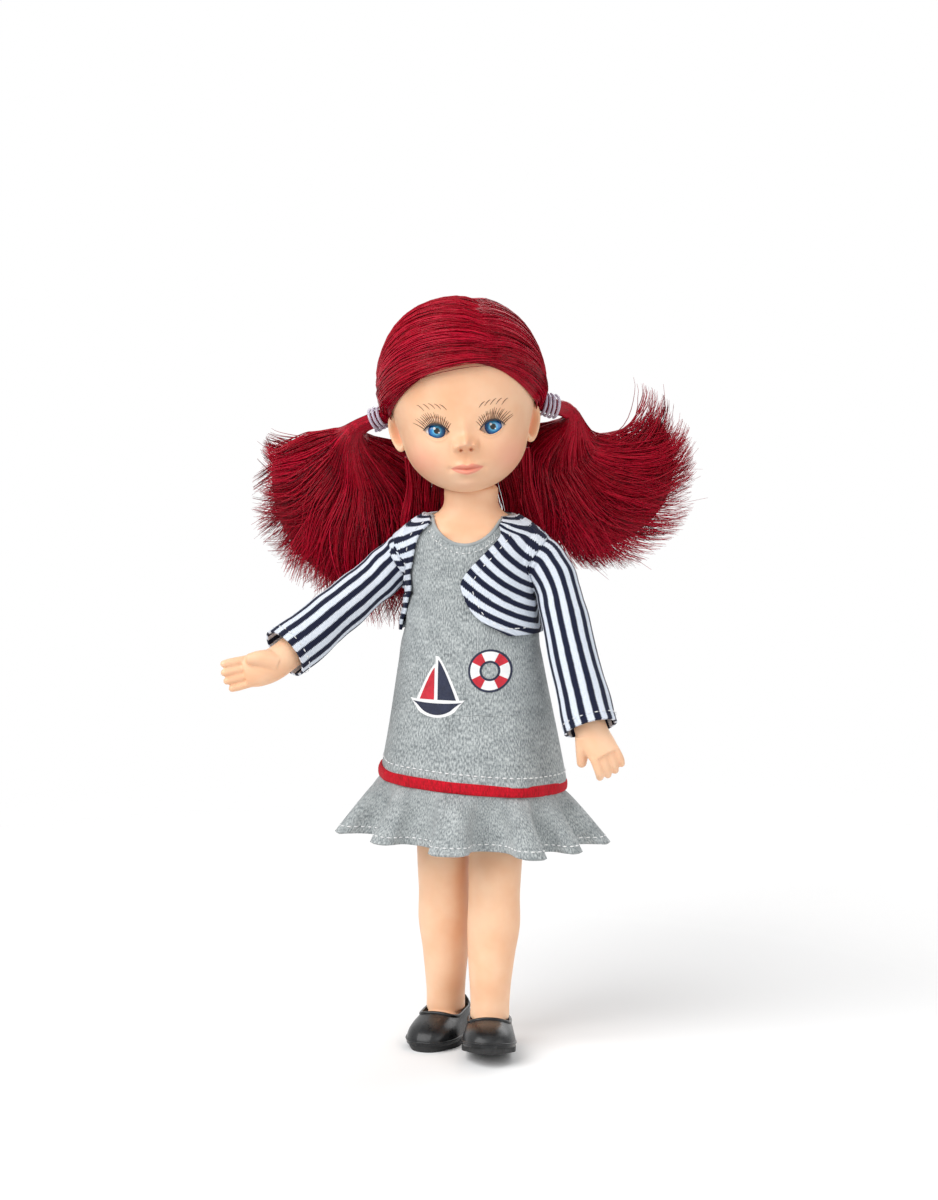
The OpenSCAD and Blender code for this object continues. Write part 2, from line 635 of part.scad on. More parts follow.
function limb_ring(side, swing, path, u, wide, deep, n) =
    let (d = heading(path, u), t = thumb_line(side, swing), e = unit(t - (t * d) * d), g = cross(d, e), c = curve(path, u))
    [for (k = [0 : n - 1]) c + wide * cos(360 * k / n) * e + deep * sin(360 * k / n) * g];

module rod(a, b, r, tip) {
    hull() {
        translate(a) sphere(r, $fn = 8);
        translate(b) sphere(tip, $fn = 8);
    }
}

module arm(side, swing) {
    path = arm_path(side, swing);
    h = hand_line(side, swing);
    t = thumb_line(side, swing);
    palm_end = path[7];
    n = palm_line(side, swing);
    bent = finger_curl(side);
    u = upper_arm_radius;
    w = wrist_radius;
    stations = [[0, arm_face_radius, arm_face_radius], [0.5, arm_face_radius + 0.2, arm_face_radius + 0.2],
        [1, arm_face_radius, arm_face_radius], [1.5, u + 0.3, u + 0.3], [2, u + 0.1, u + 0.1], [3, u - 0.1, u - 0.1],
        [4, mix(u, w, 0.4), mix(u, w, 0.4)], [4.5, mix(u, w, 0.7), mix(u, w, 0.75)], [5, w, w - 0.1],
        [5.5, w + 0.1, w - 0.5], [6, w + 0.4, w - 1], [6.5, w + 0.5, w - 1.3], [7, w + 0.2, w - 1.8]];
    spread = 2.4 * finger_radius * 0.72;
    color(skin_color) in_stance() {
        stack([for (s = stations) limb_ring(side, swing, path, s[0], s[1], s[2], 16)]);
        for (i = [0 : 3]) {
            base = palm_end + (i - 1.5) * spread * t - 1.4 * h;
            reach = finger_length * [0.82, 0.98, 1, 0.92][i] + 1.4;
            way = unit(cos(bent) * h + sin(bent) * n + (i - 1.5) * 0.04 * t);
            rod(base, base + reach * way, finger_radius, 0.86 * finger_radius);
        }
        // Shares of the palm's length along the hand, toward the thumb's side and toward the palm's face
        thumb = side > 0 ? [[-0.88, 0.31, 0], [-0.36, 0.66, 0.5]] : [[-0.78, 0.22, 0.14], [-0.31, 0.38, 0.31]];
        ends = [for (q = thumb) palm_end + palm_length * (q[0] * h + q[1] * t + q[2] * n)];
        rod(ends[0], ends[1], 0.62 * w, 1.25 * finger_radius);
        aim(shoulder(side), -shoulder_axis(side)) {
            translate([0, 0, -1]) cylinder(r = shoulder_stub_radius, h = 1 + wall + face_gap + flange_thick);
            translate([0, 0, wall + face_gap]) cylinder(r = shoulder_flange_radius, h = flange_thick);
        }
    }
}

// Legs

module leg(side, swing) {
    n = 20;
    // Drop below the hip joint's face, distance from the middle, slope of the ring, radius
    upper = [for (t = [0, 0.25, 0.5, 0.75, 1]) let (q = 1 - t, c = q * q * (hip(side) + face_gap * hip_axis(side))
            + 2 * t * q * [side * (leg_x + 2), 0, hip_z - 7.5] + t * t * [side * leg_x, 0, hip_z - 16])
        [c, (90 - hip_cant) * (1 - t * t), mix(hip_face_radius, thigh_radius, t) + 0.4 * t * q]];
    lower = [for (s = [[hip_z - 22, thigh_radius], [hip_z - 32, thigh_radius - 0.1], [hip_z - 42, calf_radius],
            [hip_z - 52, calf_radius], [hip_z - 56, calf_radius - 0.3], [25, mix(ankle_radius, calf_radius, 0.5)],
            [18, ankle_radius + 0.3], [13, ankle_radius], [8.5, ankle_radius]])
        [[side * max(foot_x, s[1] + leg_gap), 0, s[0]], 0, s[1]]];
    color(skin_color) on_leg(side, swing) {
        stack([for (s = concat(upper, lower)) [for (k = [0 : n - 1]) let (a = 360 * k / n)
            s[0] + s[2] * (cos(a) * [side * cos(s[1]), 0, sin(s[1])] + [0, sin(a), 0])]]);
        in_shoe(side) stack([for (i = [2 : len(shoe_steps) - 3])
            shoe_ring(shoe_steps[i], -upper_thick - cloth_gap)]);
        aim(hip(side), -hip_axis(side)) {
            translate([0, 0, -1]) cylinder(r = hip_stub_radius, h = 1 + wall + face_gap + flange_thick);
            translate([0, 0, wall + face_gap]) cylinder(r = hip_flange_radius, h = flange_thick);
        }
    }
}

module briefs() {
    cover = cloth_gap + jersey_thick;
    color(white_color) in_stance() difference() {
        stack(concat([[for (p = torso_ring(crotch_z, cover)) p - cover * up]],
            [for (z = seat_levels) torso_ring(z, cover)]));
        stack(concat([[for (p = torso_ring(crotch_z, cloth_gap)) p - cloth_gap * up]],
            [for (z = seat_levels) torso_ring(z, cloth_gap)], [torso_ring(hip_z + 2 * briefs_rise, cloth_gap)]));
        beyond_hip(left, -face_gap);
        beyond_hip(right, -face_gap);
    }
}

// Shoes

module in_shoe(side) {
    translate([side * foot_x, 0, 0]) rotate([0, 0, side * toe_out]) children();
}

// Cross-section of the shoe at one place along the foot, flat below and domed above
function shoe_ring(y, grow, n = shoe_sides) =
    let (w = max(0.8, at(shoe_stations, y, 1) + grow), top = max(sole_thick + 1.4, at(shoe_stations, y, 2) + grow),
         low = sole_thick - grow * (grow < 0 ? 1 : 0))
    [for (k = [0 : n - 1]) let (a = 360 * k / n)
        [w * power(cos(a), 0.8), y, sin(a) > 0 ? low + (top - low) * pow(sin(a), 0.8) : low]];

module shoe_opening() {
    half = ankle_radius + cloth_gap;
    throat = 2.8;
    translate([0, 0, heel_height / 2]) linear_extrude(far) {
        translate([0, -throat]) circle(half);
        translate([-half, -throat]) square([2 * half, throat + ankle_radius + cloth_gap]);
    }
}

module shoe_upper(side, swing) {
    color(shoe_color) on_leg(side, swing) in_shoe(side) difference() {
        stack([for (y = shoe_steps) shoe_ring(y, 0)]);
        stack([for (i = [1 : len(shoe_steps) - 2]) shoe_ring(shoe_steps[i], -upper_thick)]);
        shoe_opening();
    }
}

module shoe_sole(side, swing) {
    ball = shoe_half_width + 0.1;
    color(shoe_color) on_leg(side, swing) in_shoe(side) linear_extrude(sole_thick) hull() {
        translate([0, 5 - toe_reach]) circle(5);
        translate([0, 10.5 - toe_reach]) circle(ball);
        intersection() {
            translate([0, heel_reach - heel_radius + 1]) circle(heel_radius);
            translate([-heel_radius, heel_reach - 2 * heel_radius]) square(2 * heel_radius);
        }
    }
}

// Dress

function drape_w(z) = z > chest_z ? 0
    : mix(bust_half_width, hem_half_width, pow((chest_z - z) / (chest_z - hem_z + 3), 1.12));
function drape_d(z) = z > chest_z ? 0
    : mix(bust_half_depth, hem_half_depth, pow((chest_z - z) / (chest_z - hem_z + 3), 1.12));
function tunic_w(z) = max(at(torso_stations, z, 1) + cloth_gap, drape_w(z));
function tunic_d(z) = max(at(torso_stations, z, 2) + cloth_gap, drape_d(z));
function tunic_point(a, z, grow) =
    [(tunic_w(z) + grow) * power(cos(a), cloth_squareness),
     at(torso_stations, z, 3) + (tunic_d(z) + grow) * power(sin(a), cloth_squareness), z];
function hem_level(a) = hem_z - tan(hem_lean) * hem_half_width * cos(a);
tunic_top = neck_z - 0.6;
tunic_steps = [0, 0.11, 0.23, 0.35, 0.47, 0.59, 0.7, 0.79, 0.87, 0.93, 0.97, 1];
function tunic_rise(a, v) = mix(hem_level(a), tunic_top, v);

module neck_cut(r) {
    rise = 14;
    translate([0, -chest_half_depth, neck_z + 2.6]) rotate([rise - 90, 0, 0]) translate([0, 0, -far / 2]) cylinder(r = r, h = 2 * far);
}

module armhole_cut(side) {
    aim(shoulder(side) - 4 * shoulder_axis(side), shoulder_axis(side)) cylinder(r = armhole_radius, h = far);
}

module tunic_half(from, to) {
    n = 18;
    difference() {
        sheet([for (v = tunic_steps) [for (k = [0 : n]) let (a = mix(from, to, k / n)) tunic_point(a, tunic_rise(a, v), jersey_thick)]],
              [for (v = tunic_steps) [for (k = [0 : n]) let (a = mix(from, to, k / n)) tunic_point(a, tunic_rise(a, v), 0)]]);
        neck_cut(neckline_radius);
        armhole_cut(left);
        armhole_cut(right);
    }
}

module dress_front() {
    color(jersey_color) in_stance() tunic_half(180, 360);
}

slit_x = 1.5;
slit_z = 98;
tape_from = 76;
tape_to = 100;
tape_rise = 2;
tape_length = 23;
tape_inset = 0.3;
tape_step = 0.65;
tape_thick = 0.5;

module dress_back() {
    color(jersey_color) in_stance() difference() {
        tunic_half(0, 180);
        translate([slit_x, 0, slit_z]) cube([cloth_gap, far, far]);
    }
}

// A strip of the closure, layers deep inside the back of the tunic
module closure_strip(layer) {
    n = 4;
    inset = tape_inset + layer * tape_step;
    levels = [for (t = [0, 0.35, 0.7, 1]) slit_z + tape_rise + t * tape_length];
    color(white_color) in_stance()
        sheet([for (z = levels) [for (k = [0 : n]) tunic_point(mix(tape_from, tape_to, k / n), z, -inset)]],
              [for (z = levels) [for (k = [0 : n]) tunic_point(mix(tape_from, tape_to, k / n), z, -inset - tape_thick)]]);
}

module closure_hook_strip() { closure_strip(0); }
module closure_loop_strip() { closure_strip(1); }

piping_drop = piping_radius + 0.15;

module hem_piping() {
    n = 48;
    color(red_color) in_stance() hoop([for (i = [0 : n - 1]) let (a = 360 * i / n)
        [for (k = [0 : 5]) let (c = 60 * k, grow = jersey_thick / 2 + piping_radius * cos(c),
            p = tunic_point(a, hem_z, grow))
            [p[0], p[1], hem_level(a) - piping_drop + piping_radius * sin(c)]]]);
}

function ruffle_point(a, v, grow) =
    let (fold = sin(ruffle_folds * a + 40 * sin(2 * a)) + 0.35 * sin((ruffle_folds - 4) * a + 70),
         out = ruffle_flare * pow(v, 0.9) + fold_depth * fold * pow(v, 0.8) + grow,
         p = tunic_point(a, hem_z, out - 0.3))
    [p[0], p[1], hem_level(a) - 2 * piping_drop - 0.1 - ruffle_drop * v + 1.2 * fold * v * v];

module dress_ruffle() {
    n = 84;
    steps = [0, 0.16, 0.38, 0.68, 1];
    color(jersey_color) in_stance()
        sheet([for (v = steps) [for (k = [0 : n - 1]) ruffle_point(360 * k / n, v, jersey_thick)]],
              [for (v = steps) [for (k = [0 : n - 1]) ruffle_point(360 * k / n, v, 0)]], round = true);
}

// Bolero

front_edges = [
    [bolero_z, -52, 196],
    [bolero_z + 4, -82, 200],
    [bolero_z + 9, -94, 205],
    [bolero_z + 15, -97, 210],
    [bolero_z + 23, -80, 228],
    [bolero_z + 29, -62, 232],
    [bolero_z + 34, -52, 232]];

module bolero() {
    n = 30;
    base = bolero_gap + jersey_thick;
    // The rows round the shoulders lie on the tunic's own rows
    levels = concat([for (d = [0, 1.6, 4, 7]) bolero_z + d],
        [for (v = [0.7, 0.745, 0.79, 0.83, 0.87, 0.93, 0.97, 1]) mix(hem_z, tunic_top, v)]);
    color(stripe_color) in_stance() difference() {
        sheet([for (z = levels) [for (k = [0 : n])
                  tunic_point(mix(at(front_edges, z, 1), at(front_edges, z, 2), k / n), z, base + bolero_thick)]],
              [for (z = levels) [for (k = [0 : n])
                  tunic_point(mix(at(front_edges, z, 1), at(front_edges, z, 2), k / n), z, base)]]);
        neck_cut(neckline_radius + cloth_gap);
        armhole_cut(left);
        armhole_cut(right);
    }
}

module sleeve(side, swing, length) {
    a = shoulder_axis(side);
    v = arm_line(side, swing);
    h = hand_line(side, swing);
    b = shoulder(side) + shoulder_bend * a;
    lift = cuff_lift * h;
    path = [shoulder(side) + face_gap * a, shoulder(side) + 0.62 * shoulder_bend * a, b + upper_near * v, b + upper_far * v,
            b + (length - forearm_back) * v + lift, b + (length - cuff_back) * v + 2 * lift, b + length * v + 4 * lift];
    s = sleeve_head_radius;
    stations = [[0, s], [0.5, s], [0.9, s - 0.1], [1.3, s - 0.35], [1.7, s - 0.5], [2.2, s - 0.6], [2.8, s - 0.2],
        [3.5, s], [4.2, mix(s, cuff_radius, 0.4)], [5.1, mix(s, cuff_radius, 0.85)], [6, cuff_radius]];
    color(stripe_color) in_stance()
        sheet([for (q = stations) limb_ring(side, swing, path, q[0], q[1], q[1], 18)],
              [for (q = stations) limb_ring(side, swing, path, q[0], q[1] - bolero_thick, q[1] - bolero_thick, 18)], round = true);
}

module left_eye() { eye(left); }
module right_eye() { eye(right); }
module left_pigtail() { pigtail(left); }
module right_pigtail() { pigtail(right); }
module left_hair_tie() { hair_tie(left); }
module right_hair_tie() { hair_tie(right); }
module left_arm() { arm(left, left_arm_swing); }
module right_arm() { arm(right, right_arm_swing); }
module left_leg() { leg(left, stride); }
module right_leg() { leg(right, 0); }
module left_sleeve() { sleeve(left, left_arm_swing, left_sleeve_length); }
module right_sleeve() { sleeve(right, right_arm_swing, right_sleeve_length); }
module left_shoe_upper() { shoe_upper(left, stride); }
module left_shoe_sole() { shoe_sole(left, stride); }
module right_shoe_upper() { shoe_upper(right, 0); }
module right_shoe_sole() { shoe_sole(right, 0); }

head();
left_eye();
right_eye();
hair_cap();
left_pigtail();
right_pigtail();
left_hair_tie();
right_hair_tie();
torso();
neck_plug();
left_arm();
right_arm();
left_leg();
right_leg();
briefs();
dress_front();
dress_back();
closure_hook_strip();
closure_loop_strip();
hem_piping();
dress_ruffle();
bolero();
left_sleeve();
right_sleeve();
left_shoe_upper();
left_shoe_sole();
right_shoe_upper();
right_shoe_sole();
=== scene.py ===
"""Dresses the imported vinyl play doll: moulded body, rooted hair and sewn clothes, in the part's own frame."""
import logging
import math
from dataclasses import dataclass, field
from enum import Enum
from typing import Callable, Iterator, Optional, Sequence

import bmesh
import bpy
import numpy as np
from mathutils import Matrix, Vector


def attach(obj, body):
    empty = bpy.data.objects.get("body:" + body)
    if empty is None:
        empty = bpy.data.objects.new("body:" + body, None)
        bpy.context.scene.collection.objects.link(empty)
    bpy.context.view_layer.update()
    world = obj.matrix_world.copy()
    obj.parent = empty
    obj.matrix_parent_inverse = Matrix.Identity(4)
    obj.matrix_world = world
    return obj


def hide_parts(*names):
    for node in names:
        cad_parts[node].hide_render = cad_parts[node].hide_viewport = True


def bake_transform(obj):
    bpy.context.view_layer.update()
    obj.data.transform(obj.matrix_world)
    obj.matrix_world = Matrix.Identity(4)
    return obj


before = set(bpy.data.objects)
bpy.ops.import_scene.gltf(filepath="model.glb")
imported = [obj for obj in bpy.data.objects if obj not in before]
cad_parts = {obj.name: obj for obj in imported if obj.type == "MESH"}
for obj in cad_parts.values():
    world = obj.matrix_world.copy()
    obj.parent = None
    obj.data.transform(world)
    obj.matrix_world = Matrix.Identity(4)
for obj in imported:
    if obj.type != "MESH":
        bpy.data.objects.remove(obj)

LOG = logging.getLogger("doll")
MM = 0.001
SEED = 20
Array = np.ndarray
Thing = bpy.types.Object
Paint = bpy.types.Material
Socket = bpy.types.NodeSocket


class Side(Enum):
    """The doll's own left and right."""

    LEFT = 1
    RIGHT = -1

    @property
    def word(self) -> str:
        """Gives the word that node and body names start with."""
        return self.name.lower()


def smooth(t: Array) -> Array:
    """Eases a share from 0 to 1."""
    u = np.clip(t, 0.0, 1.0)
    return u * u * (3.0 - 2.0 * u)


def mix(a: Array, b: Array, t: Array) -> Array:
    """Goes from a to b by the share t."""
    return a + (b - a) * t


def bell(t: Array) -> Array:
    """Gives a soft bump round zero."""
    return np.exp(-np.square(t))


def power(c: Array, p: float) -> Array:
    """Raises the size of a value to a power and keeps its sign."""
    return np.sign(c) * np.abs(c) ** p


def unit(v: Array) -> Array:
    """Scales vectors to length one."""
    return v / np.linalg.norm(v, axis=-1, keepdims=True)


def around(count: int) -> Array:
    """Gives even angles round a circle."""
    return np.linspace(0, 2 * np.pi, count + 1)[:-1]


def stack(*parts: Array) -> Array:
    """Makes points, or places in a map, from their parts."""
    return np.stack(np.broadcast_arrays(*parts), axis=-1)


def split_along(off: Array, axis: Array) -> tuple:
    """Splits offsets into their lengths along an axis and what is square to it."""
    along = off @ axis
    return along, off - along[..., None] * axis


def halve(low: Array, high: Array, holds: Callable, rounds: int = 30) -> Array:
    """Finds by halving where a test stops holding.

    Args:
        low: Places where it holds.
        high: Places where it doesn't.
        holds: Tells for places between them whether it holds.
        rounds: Number of halvings.

    Returns:
        The last places where it holds.
    """
    for _ in range(rounds):
        middle = (low + high) / 2
        inside = holds(middle)
        low, high = np.where(inside, middle, low), np.where(inside, high, middle)
    return low


def turn(points: Array, axis: Sequence[float], degrees: float, pivot: Sequence[float]) -> Array:
    """Turns points about a line.

    Args:
        points: Points in millimetres, in an array that ends in three columns.
        axis: Direction of the line.
        degrees: Angle of the turn by the right-hand rule.
        pivot: A point on the line.

    Returns:
        The turned points.
    """
    k = unit(np.asarray(axis, float))
    p = points - np.asarray(pivot, float)
    c = math.cos(math.radians(degrees))
    s = math.sin(math.radians(degrees))
    return p * c + np.cross(k, p) * s + k * (p @ k)[..., None] * (1 - c) + np.asarray(pivot, float)


class Stations:
    """A table of sizes at stations, read smoothly between them."""

    def __init__(self, rows: Sequence[Sequence[float]]) -> None:
        """Takes the rows, each a place and the sizes there."""
        self.rows = np.array(rows, float)
        low = np.maximum(np.arange(len(rows)) - 1, 0)
        high = np.minimum(np.arange(len(rows)) + 1, len(rows) - 1)
        run = (self.rows[high, 0] - self.rows[low, 0])[:, None]
        self.slopes = (self.rows[high] - self.rows[low]) / run

    def read(self, x: Array, column: int) -> Array:
        """Reads one column.

        Args:
            x: Places along the table.
            column: The column to read.

        Returns:
            The sizes there.
        """
        x = np.asarray(x, float)
        i = np.clip(np.searchsorted(self.rows[1:, 0], x), 0, len(self.rows) - 2)
        h = self.rows[i + 1, 0] - self.rows[i, 0]
        u = np.clip((x - self.rows[i, 0]) / h, 0, 1)
        p, q = self.rows[i, column], self.rows[i + 1, column]
        m, n = self.slopes[i, column] * h, self.slopes[i + 1, column] * h
        return hermite(p, q, m, n, u)


def hermite(p: Array, q: Array, m: Array, n: Array, u: Array) -> Array:
    """Joins two values with given slopes by a cubic."""
    return ((2 * u ** 3 - 3 * u ** 2 + 1) * p + (u ** 3 - 2 * u ** 2 + u) * m
            + (3 * u ** 2 - 2 * u ** 3) * q + (u ** 3 - u ** 2) * n)


class Path:
    """A smooth line through points."""

    def __init__(self, points: Sequence[Sequence[float]]) -> None:
        """Takes the points in order."""
        self.points = np.array(points, float)

    def at(self, u: Array) -> Array:
        """Gives points on the line.

        Args:
            u: Places, where 0 is the first point and 1 the second.

        Returns:
            One point for each place.
        """
        k = self.points
        u = np.clip(np.asarray(u, float), 0, len(k) - 1)
        i = np.minimum(np.floor(u).astype(int), len(k) - 2)
        a = np.maximum(i - 1, 0)
        b = np.minimum(i + 2, len(k) - 1)
        m = (k[i + 1] - k[a]) / (i + 1 - a)[..., None]
        n = (k[b] - k[i]) / (b - i)[..., None]
        return hermite(k[i], k[i + 1], m, n, (u - i)[..., None])

    def heading(self, u: Array) -> Array:
        """Gives the line's direction at each place."""
        return unit(self.at(np.asarray(u) + 0.02) - self.at(np.asarray(u) - 0.02))


@dataclass(frozen=True)
class Stance:
    """How the doll stands, in millimetres and degrees."""

    side: float = 2.6
    back: float = 1.0
    neck_z: float = 150.0
    head_turn: float = 12.0
    head_lean: float = 4.5
    stride: float = 10.621
    hip_x: float = 9.2
    hip_z: float = 86.0
    hip_cant: float = 30.0
    shoulder_x: float = 17.2
    shoulder_z: float = 138.0
    shoulder_cant: float = 33.0

    def place(self, p: Array) -> Array:
        """Moves points of the body to their place over the feet."""
        return p + np.array([self.side, self.back, 0.0])

    def place_head(self, p: Array) -> Array:
        """Turns and leans points of the head about the neck."""
        neck = (0, 0, self.neck_z)
        return self.place(turn(turn(p, (0, 0, 1), self.head_turn, neck), (0, 1, 0), -self.head_lean, neck))

    def hip(self, side: Side) -> Array:
        """Gives the middle of a hip joint's face."""
        return np.array([side.value * self.hip_x, 0, self.hip_z])

    def hip_axis(self, side: Side) -> Array:
        """Gives the outward axis of a hip joint."""
        c = math.radians(self.hip_cant)
        return np.array([side.value * math.cos(c), 0, -math.sin(c)])

    def shoulder(self, side: Side) -> Array:
        """Gives the middle of a shoulder joint's face."""
        return np.array([side.value * self.shoulder_x, 0, self.shoulder_z])

    def shoulder_axis(self, side: Side) -> Array:
        """Gives the outward axis of a shoulder joint."""
        c = math.radians(self.shoulder_cant)
        return np.array([side.value * math.cos(c), 0, -math.sin(c)])

    def place_leg(self, p: Array, side: Side) -> Array:
        """Swings points of a leg to its place in the stride."""
        swing = self.stride if side is Side.LEFT else 0.0
        return self.place(turn(p, self.hip_axis(side), -side.value * swing, self.hip(side)))


STANCE = Stance()


@dataclass
class Surface:
    """A grid of points in millimetres that becomes a skin of faces."""

    points: Array
    wrap: bool = False
    loop: bool = False
    uv: Optional[Array] = None
    caps: tuple = (False, False)
    marks: dict = field(default_factory=dict)
    material: int = 0
    keep: Optional[Array] = None


def mesh_piece(name: str, surfaces: Sequence[Surface],
               materials: Sequence[Paint]) -> Thing:
    """Makes one object from grids.

    Args:
        name: Name of the piece.
        surfaces: The grids, in millimetres.
        materials: The materials that the grids name by number.

    Returns:
        The new object, at the origin.
    """
    verts, faces, corners, slots = [], [], [], []
    marks: dict = {}
    names = sorted({key for s in surfaces for key in s.marks})
    base = 0
    for s in surfaces:
        rows, cols = s.points.shape[:2]
        verts.append(s.points.reshape(-1, 3))
        r = np.arange(rows if s.loop else rows - 1)
        c = np.arange(cols if s.wrap else cols - 1)
        rr, cc = np.meshgrid(r, c, indexing="ij")
        rr, cc = rr.ravel(), cc.ravel()
        r4 = np.stack([rr, rr, rr + 1, rr + 1], axis=1)
        c4 = np.stack([cc, cc + 1, cc + 1, cc], axis=1)
        quads = base + (r4 % rows) * cols + c4 % cols
        uv = np.zeros((rows + 1, cols + 1, 2)) if s.uv is None else s.uv
        uv = uv[np.minimum(r4, uv.shape[0] - 1), np.minimum(c4, uv.shape[1] - 1)]
        if s.keep is not None:
            stay = s.keep.ravel()
            quads, uv = quads[stay], uv[stay]
        faces += quads.tolist()
        corners.append(uv.reshape(-1, 2))
        slots += [s.material] * len(quads)
        extra = 0
        for wanted, row, way in zip(s.caps, (0, rows - 1), (-1, 1)):
            if wanted:
                ring = np.arange(cols) + base + row * cols
                tip = np.full(cols, base + rows * cols + extra)
                verts.append(s.points[row].mean(axis=0)[None])
                faces += np.stack([tip, *(ring, np.roll(ring, -1))[::way]], axis=1).tolist()
                corners.append(np.zeros((3 * cols, 2)))
                slots += [s.material] * cols
                extra += 1
        for key in names:
            value = s.marks.get(key)
            flat = np.zeros(rows * cols) if value is None else np.broadcast_to(value, (rows, cols)).ravel()
            marks.setdefault(key, []).append(np.concatenate([flat, np.zeros(extra)]))
        base += rows * cols + extra
    mesh = bpy.data.meshes.new(name)
    mesh.from_pydata((np.concatenate(verts) * MM).tolist(), [], faces)
    layer = mesh.uv_layers.new(name="UVMap")
    layer.data.foreach_set("uv", np.concatenate(corners).astype(np.float32).ravel())
    for key in names:
        mark = mesh.attributes.new(key, "FLOAT", "POINT")
        mark.data.foreach_set("value", np.concatenate(marks[key]).astype(np.float32))
    for m in materials:
        mesh.materials.append(m)
    mesh.polygons.foreach_set("material_index", slots)
    mesh.polygons.foreach_set("use_smooth", [True] * len(mesh.polygons))
    mesh.update()
    clean_up(mesh)
    return show(name, mesh)


def show(name: str, data: bpy.types.ID) -> Thing:
    """Puts a new object with its data into the scene."""
    obj = bpy.data.objects.new(name, data)
    bpy.context.collection.objects.link(obj)
    return obj


def clean_up(mesh: bpy.types.Mesh) -> None:
    """Deletes points that no face uses and turns the faces so that they point out."""
    form = bmesh.new()
    form.from_mesh(mesh)
    bmesh.ops.delete(form, geom=[v for v in form.verts if not v.link_faces], context="VERTS")
    bmesh.ops.recalc_face_normals(form, faces=form.faces)
    form.to_mesh(mesh)
    form.free()


def settle(obj: Thing) -> None:
    """Turns what a piece's modifiers make into its plain mesh and drops the modifiers."""
    graph = bpy.context.evaluated_depsgraph_get()
    mesh = bpy.data.meshes.new_from_object(obj.evaluated_get(graph), depsgraph=graph)
    old = obj.data
    obj.modifiers.clear()
    obj.data = mesh
    if old.users == 0:
        bpy.data.meshes.remove(old)


def thicken(obj: Thing, thick: float, crisp: bool = False) -> None:
    """Gives an open skin, which is the outer face, its thickness.

    Args:
        obj: The piece.
        thick: Thickness in millimetres.
        crisp: Whether the edges are shaded flat, so that pieces that meet there look like one.
    """
    skins = 2 * len(obj.data.polygons)
    wall = obj.modifiers.new("wall", "SOLIDIFY")
    wall.thickness = thick * MM
    wall.offset = -1.0
    wall.use_even_offset = False
    wall.use_rim = True
    settle(obj)
    for face in obj.data.polygons[skins:] if crisp else ():
        face.use_smooth = False


def ride(obj: Thing, body: str, slot: str, *nodes: str) -> None:
    """Puts a piece on a body and hides the nodes that it stands for."""
    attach(obj, body)
    if nodes:
        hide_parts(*nodes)
    LOG.info("%s rides on %s", obj.name, body)


def share_out(obj: Thing, bodies: tuple, shares: Callable, slot: str, *nodes: str) -> None:
    """Bakes a piece's place into its mesh, works out its points' shares of the second of two bodies and hides
    the nodes that it stands for.

    Args:
        obj: The piece.
        bodies: The two bodies, which share a joint.
        shares: Gives for points, in millimetres, how far they go with the second body.
        slot: Not used.
        nodes: The nodes.
    """
    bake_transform(obj)
    places = np.empty(3 * len(obj.data.vertices), np.float32)
    obj.data.vertices.foreach_get("co", places)
    values = shares(places.reshape(-1, 3) / MM).astype(np.float32)
    if nodes:
        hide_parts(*nodes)
    LOG.info("%s goes with %s and %s", obj.name, *bodies)


def split_piece(obj: Thing, tests: dict) -> list:
    """Cuts a piece along its own edges into pieces that still meet.

    Args:
        obj: The piece, which is used up.
        tests: For each new name, a function that tells from a face's middle whether the face goes there.

    Returns:
        The new pieces, in the order of the names.
    """
    pieces = []
    for name, belongs in tests.items():
        mesh = obj.data.copy()
        mesh.name = name
        form = bmesh.new()
        form.from_mesh(mesh)
        away = [f for f in form.faces if not belongs(f.calc_center_median() / MM)]
        bmesh.ops.delete(form, geom=away, context="FACES")
        form.to_mesh(mesh)
        form.free()
        pieces.append(show(name, mesh))
    bpy.data.objects.remove(obj)
    return pieces


@dataclass(frozen=True)
class SkirtSway:
    """How the skirt follows the legs: it is still at the top and on the middle line, and lifts at the
    front of each side. Millimetres, with shares of the leg's turn."""

    top_z: float = 95.0
    still_z: float = 92.0
    free_z: float = 78.0
    still_x: float = 1.2
    free_x: float = 10.0
    front_share: float = 0.8
    back_share: float = 0.12
    back_y: float = 9.0
    depth: float = 20.0

    def is_below(self, side: Side) -> Callable:
        """Gives a test for the faces of one side below the top."""
        return lambda p: p[2] <= self.top_z and (p[0] > 0) == (side is Side.LEFT)

    def shares(self, p: Array, side: Side) -> Array:
        """Gives how far points go with the leg of their side."""
        out = smooth((side.value * p[:, 0] - self.still_x) / (self.free_x - self.still_x))
        low = smooth((self.still_z - p[:, 2]) / (self.still_z - self.free_z))
        front = smooth((self.back_y - p[:, 1]) / self.depth)
        return out * low * mix(self.back_share, self.front_share, front)

    def halves(self, obj: Thing, word: str) -> list:
        """Cuts a piece of the skirt into its left and its right half."""
        return split_piece(obj, {f"{side.word}_{word}": self.is_below(side) for side in Side})

    def hang(self, obj: Thing, side: Side, slot: str, *nodes: str) -> None:
        """Works out how far the points of a piece of the skirt go with a leg, and hides the nodes that it
        stands for.

        Args:
            obj: The piece, on one side of the middle.
            side: That side.
            slot: Not used.
            nodes: The nodes that it stands for.
        """
        share_out(obj, ("body", f"{side.word}_leg"), lambda p: self.shares(p, side), slot, *nodes)


def linear(text: str) -> tuple:
    """Turns a hex colour into the values that shaders take."""
    parts = [int(text[i:i + 2], 16) / 255 for i in (1, 3, 5)]
    return tuple(p / 12.92 if p <= 0.04045 else ((p + 0.055) / 1.055) ** 2.4 for p in parts) + (1.0,)


